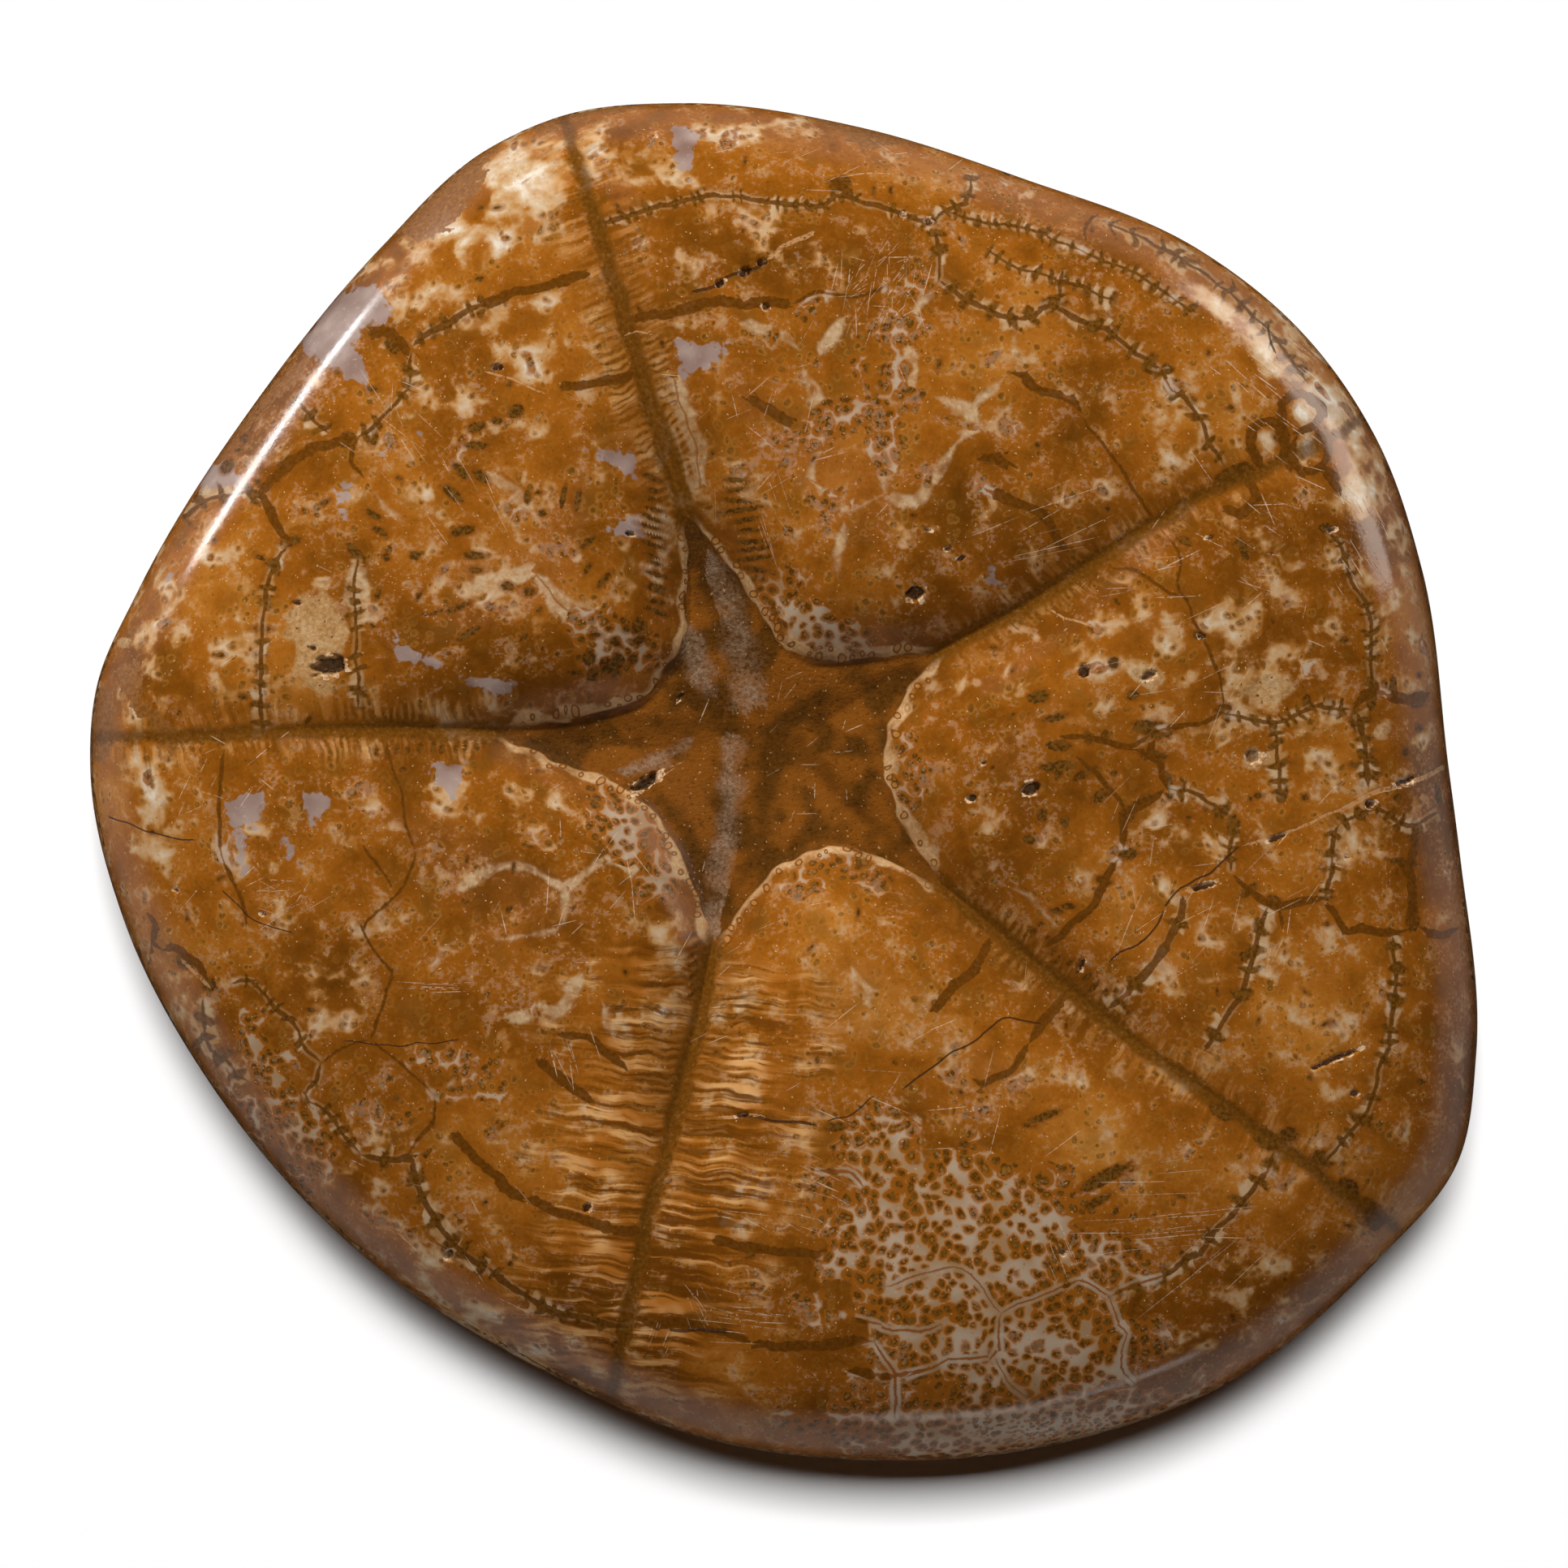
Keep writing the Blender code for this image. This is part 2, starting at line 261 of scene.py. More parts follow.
    @staticmethod
    def groove_sizes(share: np.ndarray) -> tuple[np.ndarray, np.ndarray]:
        """A groove's depth and half width, which fade on the way out to the rim."""
        fade = 1 - np.clip((share - GROOVE_START) / (1 - GROOVE_START), 0, 1)
        depth = GROOVE_DEPTH_AT_RIM + (GROOVE_DEPTH - GROOVE_DEPTH_AT_RIM) * fade**GROOVE_FADE
        spread = GROOVE_HALF_WIDTH - GROOVE_HALF_WIDTH_AT_RIM
        return depth, GROOVE_HALF_WIDTH_AT_RIM + spread * fade

    def face_height(self, points: np.ndarray, share: np.ndarray) -> np.ndarray:
        """The height of points on the lobes of the mouth face."""
        depth, half_width = self.groove_sizes(share)
        away = np.clip(self.distance_to_valleys(points) / half_width, 0, 1)
        valley = depth * (1 - away) ** GROOVE_ROUNDING
        return self.cushion_height(share) - (valley - self.polish_waves(points)) * (1 - share**8)

    def hollow_height(self, points: np.ndarray, share: np.ndarray) -> np.ndarray:
        """The height of points on the floor of the mouth hollow."""
        depth, _ = self.groove_sizes(share)
        tips = np.array([self.groove_line(number)[0] for number in range(5)])
        from_tip = np.linalg.norm(points[:, None] - tips[None], axis=-1).min(axis=1)
        step = LIP_STEP * (1 - np.exp(-((from_tip / TIP_REACH) ** 2)))
        from_lip = self.distance_to_valleys(points)
        sag = HOLLOW_SAG * (1 - np.exp(-((from_lip / HOLLOW_SAG_REACH) ** 2)))
        return self.cushion_height(share) - depth - step - sag + self.polish_waves(points)

    def petal_relief(self, rim: np.ndarray, place: np.ndarray, down: float) -> np.ndarray:
        """How far the petals and their sunken borders stand out of the dome."""
        relief = np.zeros(len(place))
        along = min(max((down - PETAL_START) / (PETAL_END - PETAL_START), 0.0), 1.0)
        half_width = PETAL_HALF_WIDTH * math.sin(math.pi * along**0.8) ** 0.7
        foot = np.array(FOOT_CENTRE)
        for number in range(5):
            end = self.plan_point(number, np.array(0.0), np.array(1.0)) - foot
            direction = end / np.linalg.norm(end)
            across = np.abs((place[:, :2] - foot) @ np.array([-direction[1], direction[0]]))
            ahead = (rim - foot) @ direction > 0
            raised = PETAL_HEIGHT * np.clip(1 - across / max(half_width, 0.1 * MM), 0, 1) ** 0.5
            border = np.exp(-(((across - half_width) / PETAL_BORDER_WIDTH) ** 2))
            swell = math.sin(math.pi * along) ** 1.5
            relief += (raised - PETAL_BORDER_DEPTH * border) * ahead * swell
        return relief

    def dome_points(self, rim: np.ndarray, down: float) -> np.ndarray:
        """Points on the dome under the rim, at a share of the way down to the foot."""
        foot = np.array(FOOT_CENTRE)
        outward = (rim - foot) / np.linalg.norm(rim - foot, axis=1)[:, None]
        foot_points = foot + FOOT_RADIUS * outward
        quarter = down * math.pi / 2
        spread = math.cos(quarter) ** DOME_ROUNDING if down < 1 else 0.0
        plan = foot_points + (rim - foot_points) * spread
        height = RIM_HEIGHT * (1 - math.sin(quarter) ** DOME_FULLNESS)
        points = np.column_stack([plan, np.full(len(plan), height)])
        if down < 1:
            away = points - np.array([*FOOT_CENTRE, RIM_HEIGHT])
            away /= np.linalg.norm(away, axis=1)[:, None]
            points += away * self.petal_relief(rim, points, down)[:, None]
        return points

    def rings(self) -> np.ndarray:
        """Every ring of points as one array of ring, spoke and X, Y, Z."""
        steps = crowd(SPOKES_PER_LOBE, SPOKE_CROWDING)[:-1]

        def around(share_of: Any) -> tuple[np.ndarray, np.ndarray]:
            shares = [share_of(self.lip_share(lobe, steps)) for lobe in range(5)]
            plans = [self.plan_point(lobe, steps, shares[lobe]) for lobe in range(5)]
            return np.concatenate(plans), np.concatenate(shares)

        rings = []
        for part in np.linspace(0, 1, HOLLOW_RINGS + 1)[1:-1]:
            eased = part if part < 0.8 else 0.8 + (part - 0.8) * 0.93
            plan, share = around(lambda lip, eased=eased: lip * eased)
            rings.append(np.column_stack([plan, self.hollow_height(plan, share)]))
        for part in crowd(FACE_RINGS, RING_CROWDING):
            plan, share = around(lambda lip, part=part: lip + (1 - lip) * part)
            rings.append(np.column_stack([plan, self.face_height(plan, share)]))
        rim = rings[-1][:, :2]
        for step in range(1, DOME_RINGS + 1):
            rings.append(self.dome_points(rim, step / DOME_RINGS))
        foot = np.array([*FOOT_CENTRE, 0.0])
        last = rings[-1]
        for step in range(1, FOOT_RINGS):
            rings.append(foot + (last - foot) * (1 - step / FOOT_RINGS))
        return np.array(rings)


# ---------------------------------------------------------------------------------------------------
# The lines on the shell, with a few lines of painted shade and areas of painted sheen: all in millimetres, seen from
# above the mouth face
# ---------------------------------------------------------------------------------------------------


@dataclass(frozen=True)
class Stroke:
    """One drawn line on the stone.

    Args:
        points: The points that it passes through.
        half_width: Half of its width.
        style: Its kind of edge, as a number that the finish reads.
    """

    points: Sequence[Point]
    half_width: float = 0.1
    style: float = 0.0


def thin(*points: Point, half_width: float = 0.09) -> Stroke:
    """A narrow dark seam."""
    return Stroke(points, half_width, 0.0)


def ladder(*points: Point, half_width: float = 0.1) -> Stroke:
    """A dark seam crossed by short dark rungs, with pale boxes between them."""
    return Stroke(points, half_width, 1.0)


def seam(*points: Point, half_width: float = 0.09) -> Stroke:
    """A dark seam between two pale flanks."""
    return Stroke(points, half_width, -1.0)


def band(half_width: float, *points: Point) -> Stroke:
    """A broad dark line of speckled sediment."""
    return Stroke(points, half_width, 0.0)


UPPER_LEFT_SEAMS = [
    band(0.32, (-11.8, 31.1), (-14.5, 30.4), (-17, 29.8), (-18.6, 29)),
    ladder((-18.4, 29.2), (-20.2, 28.2), (-21.6, 27.6), (-22.8, 26.6), half_width=0.16),
    band(0.5, (-23, 26), (-23.6, 26.9), (-24.5, 27.5), (-25.5, 27.4)),
    ladder((-22.9, 26.3), (-23, 24.2)),
    ladder((-23, 24), (-24.5, 22.4), (-26.3, 20.9)),
    band(0.42, (-26.3, 20.9), (-27, 20.9), (-29, 20.3), (-30.3, 19.5), (-31.2, 18.6), (-32.3, 17.7)),
    ladder((-30.2, 23.6), (-29, 22.2), (-28, 21.2)),
    band(0.24, (-32.3, 17.6), (-31.3, 16.1), (-30.7, 15), (-30.2, 14.5)),
    ladder((-30.5, 14.3), (-31.2, 13.3), (-31.6, 12), (-31.9, 10), (-32.1, 8), (-32.2, 5), (-32.1, 2.6)),
    seam((-32.2, 17.8), (-34.5, 17.4), (-35.8, 17), (-37, 15.9)),
    band(0.3, (-13.8, 24), (-11, 24.4), (-9, 25)),
    thin((-26.2, 21), (-26.6, 19.6), (-25.8, 18.4)),
    ladder((-26.2, 13.6), (-26.4, 11.6), (-26.3, 9.6), (-26.2, 7.2), (-26.1, 4.2), half_width=0.07),
]
TOP_SEAMS = [
    ladder((-11.2, 34.2), (-9, 34.8), (-5.7, 35.6), (-3.3, 35.9), (0.2, 35.3), (2, 35.2),
           (3.5, 35.8), (5.3, 35.4), (7, 34.9), (9.2, 34.2), half_width=0.12),
    ladder((9.2, 34.2), (10.2, 34.9), (11.2, 35.4), (11.7, 36.5), (11.7, 37.4)),
    seam((9.5, 34), (9.7, 32), (9.6, 30.5)),
    band(0.42, (-9.3, 28.2), (-7.6, 28.6), (-6, 28.8), (-4, 29.3), (-1.5, 29.3), (0.5, 29.3)),
    band(0.34, (-2, 23.6), (-0.5, 22.6), (0.7, 21.8)),
    band(0.4, (3.2, 36.9), (3.9, 36.2), (4.4, 35.6)),
    thin((0.5, 29.3), (2.4, 29.9), (4.6, 29.6), (6.4, 30.4)),
]
UPPER_RIGHT_SEAMS = [
    seam((9.7, 30.7), (11, 29.7), (12.5, 29), (14.3, 28.2), (15.4, 28.5), (16.5, 29.2), (17.5, 28.6),
         (18.8, 28), (19.8, 27.7), (21, 26.8), (22.4, 25.6), (23.3, 25.2), half_width=0.12),
    ladder((23.3, 25.2), (24, 24), (24.8, 23.4), (25.4, 22.5), (26, 21.4), (26.6, 20.3), (27.2, 19.3)),
    band(0.24, (14, 25), (14.8, 24.9), (15.8, 23.9), (17.2, 23.6), (18, 23.1), (18.5, 22.4)),
    thin((18.5, 22.4), (18.8, 21.6), (19.7, 20.6), (20.2, 19.8), (21, 18.7), (21.8, 17.5),
         (22.3, 16.6), (23, 16)),
    band(0.34, (12, 19.5), (13.2, 19.7), (13.8, 18.9)),
    band(0.24, (12.4, 18), (14, 17), (15.9, 16.3), (16.6, 15.2), (17.7, 14)),
    ladder((17.3, 31.4), (17.2, 30), (17.0, 29.2)),
    thin((16.7, 30.8), (19.2, 30.2)),
    thin((18.8, 33), (18.8, 34.2), (19.5, 34.8)),
    band(0.26, (29.6, 18.8), (28.9, 20.2), (29, 21.6), (30, 22), (30.9, 21), (31, 19.8), (31.4, 18.7)),
    band(0.24, (30.9, 20.9), (31, 22), (30.9, 23), (31.9, 23.6), (33.1, 22.9), (32.9, 21.8), (31.4, 21.3)),
    band(0.24, (31.7, 21.2), (31.4, 19.9), (32.1, 18.9), (33.2, 19.3), (33.6, 20.6), (32.7, 21.5)),
    band(0.26, (33, 19.2), (34, 18.4), (34.4, 17.2)),
    band(0.4, (27, 17.4), (27.5, 18.4), (28.6, 18.4), (29.1, 17.3), (28.2, 16.4), (27.1, 16.7)),
    ladder((10.2, 34.8), (13, 34.2), (16, 33.4), (19.6, 32), (22.6, 30.6), (25.6, 28.6), half_width=0.06),
    ladder((20, 34.2), (24, 32.3), (27.4, 30), (30.2, 27.2), (32.2, 24.4), half_width=0.07),
    ladder((12.6, 32.6), (14.6, 31.4), (17, 30.8), (20.6, 29.4), half_width=0.06),
]
RIGHT_SEAMS = [
    thin((23.8, 14.8), (24.6, 13.5), (24.3, 12), (24.8, 11), (25.5, 9.5), (25.9, 8.6), (26.5, 7.3),
         (27, 6.3), (27.1, 5), (27.1, 4.3), half_width=0.07),
    band(0.16, (27.2, 4.2), (25.9, 3.3), (25, 3.2), (24, 3.1), (22.8, 2.9)),
    ladder((27.2, 4), (28.5, 3.7), (30.2, 3.4), (31.2, 3.7), (32.2, 4.1), (33, 4.4), (34.5, 4.2),
           (35.2, 4.2)),
    band(0.26, (35.2, 4.2), (35.9, 5), (36.4, 5.4), (37.5, 5.1), (39, 4.8), (40, 5.3)),
    ladder((36.2, 5.4), (36.3, 7.4), (36.2, 9.5), (35.8, 10.9), (35, 12.2), (34.8, 13.2), (34.3, 14.5),
           (33.5, 15.3)),
    ladder((35.4, 4), (36, 2.2), (36, 0.8), (36.1, -0.6), half_width=0.14),
    ladder((30.4, 3.2), (30.4, 1.8), (30.5, 0.9), (30.6, -1.2)),
    band(0.2, (22.9, 2.4), (22.6, 1.4), (23.2, 0.9), (23.4, 0.1), (23.7, -0.5)),
    seam((23.8, -0.6), (25, -0.8), (26.2, -1.4), (27, -2), (27.7, -2.4)),
    band(0.22, (23.6, -0.7), (22.6, -1.4), (21.6, -1.9), (21, -2.2), (20.9, -3.2), (21, -4.4)),
    band(0.2, (20.8, -5), (20, -6), (19.5, -7), (18.8, -8.2), (17.5, -9.3), (16.2, -10.5)),
    ladder((27.7, -2.6), (27.7, -4), (27.6, -5.8)),
    band(0.18, (27.7, -6), (28.6, -6.9), (29.8, -7.7), (30.8, -7.9), (32, -7.6), (33.4, -7.3)),
    ladder((33.4, -7.3), (33.7, -6), (33.8, -4.5), (34, -3.4), (34.3, -2.9), half_width=0.12),
    ladder((34.3, -2.9), (35.3, -2.4), (36.5, -2), (37.5, -2.4), (38.5, -2.9), (39.5, -2.7), (40.5, -2)),
    band(0.3, (38.9, -3), (39, -4.3), (38.4, -5.4), (38.8, -6.2), (38.8, -7.5), (38.8, -8.6), (39.2, -9.2)),
    band(0.24, (39.2, -9.2), (40, -9.6), (41, -9.6), (41.7, -9.2)),
    band(0.2, (33.6, -7.6), (34.2, -8.6), (34.7, -9.3), (36.3, -9.4), (37.8, -9.6), (38.6, -9.2)),
    ladder((37.5, -9.7), (37.7, -11), (37.9, -12.3), (37.6, -14.5), (37.3, -16.5), (36.7, -18),
           (36.4, -19.7), (35.7, -21), (34.8, -21.9), (34, -23), (33.4, -24)),
    seam((24.7, -7.2), (24.6, -8.4), (24, -9.6), (23.2, -11), (22.2, -12.3), (21.2, -13.3), (20, -14.2),
         half_width=0.2),
    seam((29.9, -8), (29.4, -9.6), (29, -11), (28.7, -12.2), (28.3, -13.2), (27.5, -14.3), (26.8, -15.6),
         (26, -16.8), half_width=0.13),
    thin((30.6, -7.9), (30.9, -9.3)),
    thin((20.2, 13), (22, 12.6), (23.8, 11.4), (24.6, 11.2)),
    band(0.14, (17, 2.6), (18.8, 2.4), (20, 2.2), (21.3, 2), (22.6, 2.6)),
    band(0.12, (18, 1.2), (19.4, 0.2), (20.6, -1.1), (21, -2.1)),
]
BOTTOM_SEAMS = [
    band(0.26, (17.8, -12.9), (16.7, -14.2), (15.9, -15.3), (15.2, -16.4)),
    band(0.2, (15.2, -16.4), (14.4, -17.7), (13.6, -18.3), (12.3, -18.9), (11.6, -18.6)),
    band(0.34, (12.8, -9.8), (12.2, -11), (11.1, -12.4), (10, -13.5), (9, -14.4)),
    seam((30.4, -23), (29.9, -24.2), (28.8, -25.4), (28, -26.6), (26.6, -28), (25.8, -29.2), (25, -29.6),
         (23, -30.8), (21.3, -31.3), (20.2, -32), half_width=0.14),
    thin((20.2, -32), (18.4, -31), (16.2, -31.7), (13.5, -32.9), half_width=0.11),
    thin((20.2, -32), (20.7, -33.8), (21.2, -34.2), (20.9, -36.2), (21.7, -37.5)),
    thin((13.5, -32.9), (11, -30.3), (8, -30.8), (6.3, -31.3), half_width=0.07),
    thin((13.5, -32.9), (13.4, -34.5), (13, -35.6), (10, -36), (7.5, -37), half_width=0.12),
    thin((13.1, -35.6), (13.8, -37), (15, -38.2), half_width=0.07),
    band(0.2, (-9.2, -33.3), (-7.8, -33.8), (-6.3, -33.5), (-4.8, -34), (-3.6, -34.2), (-1.8, -34.8)),
    band(0.26, (-1.8, -34.8), (0, -35), (2.2, -35), (4, -34.8), (5.6, -34.7)),
    thin((5.6, -34.7), (6.3, -35.7), (7, -36.7), (6.9, -38), (7, -39.5), half_width=0.14),
    band(0.28, (4, -36.6), (6, -36.8), (7.8, -36.7), (9.2, -36.4)),
    band(0.14, (4.4, -33.3), (5.8, -33.6), (6.8, -34.1), (8.6, -34), (9.8, -33.6)),
    band(0.34, (-4.4, -28.5), (-2, -29), (0.5, -29.2), (2.5, -29.4)),
    band(0.2, (2, -24.1), (4, -24.2), (5, -25.2)),
]
LOWER_LEFT_SEAMS = [
    thin((-34.4, 1.6), (-34.7, -1.4), (-34.6, -3.5), (-34.2, -5.5), (-33.5, -7), (-33, -8.5), (-33, -9.3)),
    band(0.24, (-38, -10.2), (-36.8, -10.9), (-35.8, -11.5), (-35.3, -12.4)),
    seam((-35.6, -13.5), (-35.6, -15.2), (-35.3, -16.6), (-34.3, -17.4), (-33.5, -18.4), (-32.8, -18.8)),
    ladder((-34, -12.6), (-32.8, -12.6), (-31.8, -13.4), (-31, -14.3), (-30, -15.5), (-29.2, -16.8),
           (-28.4, -17.5)),
    ladder((-28.4, -17.5), (-28.8, -18.7), (-29.3, -19.5), (-28.5, -20.3), (-27.5, -21.5),
           (-26.5, -22.6), (-26, -23.3)),
    thin((-25.3, -16.2), (-25, -15), (-24.3, -13), (-24.2, -12), (-25, -10.8), (-25.8, -9.4),
         (-25.2, -8.6), (-24.2, -7.6), (-23.3, -6.6), (-22.8, -5), (-22.6, -4.4), half_width=0.07),
    thin((-22.6, -4.4), (-23.2, -2.4), (-23.6, -0.5), (-24, 0.5), (-24.3, 2.4), half_width=0.07),
    thin((-25.8, -4), (-24.8, -5.6), (-24, -6.8), half_width=0.06),
    thin((-28.4, -17.5), (-27, -16.7), (-25.3, -16.2), half_width=0.07),
    thin((-25.3, -16.2), (-24.3, -17), (-23.2, -18), (-22, -19), (-21.4, -19.6), half_width=0.06),
    thin((-21.4, -19.6), (-21.6, -21.4), (-22.4, -22.3), (-23, -23.2), half_width=0.08),
    seam((-26, -23.3), (-24.4, -23.6), (-23, -23.5), (-22.5, -25), (-22, -26), (-21.3, -27.5),
         (-20.3, -28.6), (-19.2, -29.6), (-18.2, -30.2), half_width=0.17),
    ladder((-18.2, -30.2), (-16.8, -31.2), (-15.6, -32), (-14.2, -32.8), (-12.5, -33.3), (-11, -33.6),
           (-9.5, -34), half_width=0.15),
    band(0.44, (-20.5, -22), (-19.2, -23), (-18.2, -24.2), (-17.2, -25.2), (-15.8, -25.9)),
    band(0.36, (-15.8, -25.9), (-14.3, -26.5), (-12.5, -27.2), (-10.3, -27.9), (-8.3, -28)),
    band(0.3, (-15, -17.2), (-14.4, -18), (-13, -19), (-11.5, -20)),
    band(0.2, (-13.9, -15.8), (-12, -16), (-10.8, -17), (-9.5, -18.2)),
    band(0.22, (-39.2, -8.2), (-38.6, -9.2), (-38.8, -10.2), (-38, -10.6)),
]
DARK_SEAMS = (
    UPPER_LEFT_SEAMS + TOP_SEAMS + UPPER_RIGHT_SEAMS + RIGHT_SEAMS + BOTTOM_SEAMS + LOWER_LEFT_SEAMS
)

PALE_VEINS_DUST_AND_CREASE_SHADE = [
    Stroke([(1.8, 18.2), (2, 20), (2.6, 21.8), (2.2, 23.5), (1.5, 25)], 0.22),
    Stroke([(2.6, 22), (4.2, 22.3), (5.5, 22), (6, 20.5), (6.2, 18.5), (6.3, 17.4)], 0.13),
    Stroke([(6.3, 17.4), (4.9, 16.7), (3.5, 16.6), (2.6, 17.4), (1.8, 18.2)], 0.14),
    Stroke([(6.3, 17.3), (8, 17), (9.4, 18.5), (10.2, 19.9), (11, 20.8), (11.6, 21.4), (11.5, 22.6),
            (10.4, 23.1), (9.2, 23.6)], 0.24),
    Stroke([(11.6, 22.8), (12.4, 23.4), (13.6, 24.6)], 0.2),
    Stroke([(6, 23), (7.3, 23.7), (7.9, 24.6), (7.9, 26), (7.4, 27.4)], 0.3),
    Stroke([(7.9, 28.6), (9.2, 30), (9.7, 30.6)], 0.2),
    Stroke([(2.2, 26), (3.2, 27.6), (3.9, 28.3)], 0.3),
    Stroke([(14.3, 27.7), (14.5, 25.6)], 0.2),
    Stroke([(0.2, 21.5), (0.2, 19.7)], 0.16),
    Stroke([(3.8, 15.5), (3.3, 12.5)], 0.18),
    Stroke([(-18.5, 18.7), (-16.5, 17.7), (-16, 16.2)], 0.3),
    Stroke([(-15.3, 12.6), (-13.3, 10.5), (-11, 9.3), (-9.2, 8), (-8, 7)], 0.5, 1.0),
    Stroke([(-19.4, 12), (-17, 12.4), (-15.4, 12.8)], 0.32),
    Stroke([(-20, -7), (-17, -5.4), (-14.5, -6.2), (-13.2, -6.6), (-11, -5)], 0.2),
    Stroke([(-13.4, -6.8), (-13.4, -9), (-14, -9.4), (-17.2, -9.8)], 0.16),
    Stroke([(-10.9, -4.9), (-11.5, -3), (-12, -1.5)], 0.26, 1.0),
    Stroke([(-10.9, -4.9), (-9.5, -5.5), (-8.3, -6.6)], 0.24),
    Stroke([(-12.4, -12), (-13.6, -14.2), (-15, -14.4), (-17, -14.8)], 0.28),
    Stroke([(-11.2, -14), (-10.4, -16)], 0.2),
    Stroke([(-21.4, -19.6), (-19.8, -18.8), (-18, -18.3)], 0.24),
    Stroke([(4.2, -20.8), (4.6, -22.5), (5, -24), (4.4, -25.6), (5, -27.4), (5.2, -29), (6.2, -31)], 0.2),
    Stroke([(5, -24.1), (8, -23.8), (9, -24.8), (11.4, -26.4), (13, -25.6), (13.8, -25)], 0.22, 1.0),
    Stroke([(8, -23.8), (8.3, -22), (8.2, -20.5)], 0.24),
    Stroke([(4.2, -11.5), (4.6, -12.6), (5.3, -13.8)], 0.2),
    Stroke([(-6.6, 24.6), (-6.2, 22.8), (-5.5, 21), (-5.2, 19.6), (-5, 18)], 0.4, 1.0),
    Stroke([(-5.4, 17.6), (-6.3, 19.8), (-6.9, 21.6)], 0.16),
    Stroke([(-25, 17.4), (-24.2, 16.4), (-23.4, 15.8)], 0.16),
    Stroke([(12.4, -26.4), (12.2, -28.4), (11.8, -30)], 0.2),
    Stroke([(-26.2, 13), (-26.4, 11.6)], 0.4),
    Stroke([(16.4, -8.6), (15.4, -7.4), (14.2, -6.8)], 0.14),
    Stroke([(0.6, 26.8), (-0.6, 27.6), (-2.4, 27.9)], 0.16),
    Stroke([(-3.2, 3.2), (-3.1, 1), (-3.4, -3), (-3.9, -7), (-4.3, -10.4)], 0.5, 2.0),
    Stroke([(-4.2, 13.4), (-3.2, 10), (-2.2, 6.6), (-1.9, 4.4)], 0.9, 2.0),
    Stroke([(-6.6, 9.4), (-5.4, 7.4), (-4.4, 5.2)], 0.6, 2.0),
    Stroke([(-9.6, 0.6), (-7.4, 1.2), (-5.6, 2.4)], 0.3, 2.0),
    # Style 3 is painted shade: soft dark lines where creases run from the grooves over the hollow floor.
    Stroke([(-15.6, 2.2), (-10, 3.2), (-6, 3.4), (-2, 3.2), (2, 4.4), (6, 5.8), (8.8, 6.8)], 0.5, 3.0),
    Stroke([(-4.1, -10), (-2.6, -6), (-1.4, -2), (-1, 1.6), (-1.6, 4), (-3.6, 9), (-5.4, 14)], 0.3, 3.0),
    Stroke([(9, -6.2), (6.2, -3.4), (3, -0.4), (0, 2.6)], 0.5, 3.0),
]

DARK_CRACKS = [
    Stroke([(15.9, -15.2), (13.5, -14.9), (12, -16.2), (10.3, -17), (9, -18), (7.4, -19.3)], 0.05),
    Stroke([(5.8, -19.6), (4, -20.8), (2.7, -21.2)], 0.035),
    Stroke([(28.2, -4.2), (26.9, -5.4), (26.2, -6), (24.6, -6.8), (23.6, -7.8), (23.2, -8.9),
            (22.4, -9.9), (20.9, -10.7), (20, -11.4)], 0.05),
    Stroke([(29.9, 28), (30.1, 26.9), (30.4, 26.2)], 0.05),
    Stroke([(-41.6, -2.4), (-39.6, -3.1), (-37.4, -3.8), (-36, -3.9)], 0.04),
    Stroke([(-34.6, -6.9), (-32.4, -8.8), (-30, -9.6)], 0.03),
    Stroke([(-2.9, -20.8), (-0.6, -21.1), (2, -21.4)], 0.08),
    Stroke([(-7, -34.1), (-5, -34), (-3.4, -34.2)], 0.09),
    Stroke([(-5.6, 30), (-4.4, 30.2), (-3.4, 30.9), (-2.3, 31.2), (-1.2, 31.7)], 0.09),
    Stroke([(-27, -16.2), (-24.6, -16.5), (-22, -16.4), (-19.8, -16.1)], 0.03),
]
PALE_CRACKS = [
    Stroke([(41.4, 1), (39.8, 0.2), (38, -0.4), (36, -1), (34.5, -2)], 0.14),
    Stroke([(34.5, -2), (33, -2.5), (31, -3.4), (29.5, -3.9), (28.4, -4.2)], 0.08),
    Stroke([(27, -6.3), (26, -6.7), (24.8, -6.9)], 0.2),
    Stroke([(-1, 31.9), (0.6, 33), (2, 33.7)], 0.14),
    Stroke([(-14.6, 23.6), (-16.8, 24.6), (-18.4, 25)], 0.06),
    Stroke([(-9.8, 27.2), (-9, 27.5), (-8, 27.3)], 0.05),
    Stroke([(-4, -20.9), (-2.4, -20.8), (-0.8, -21)], 0.1),
    Stroke([(-37, -11.2), (-36.2, -12), (-35.2, -12.9)], 0.1),
    Stroke([(16.4, 10.4), (17.4, 9.9), (19, 9.2)], 0.06),
]

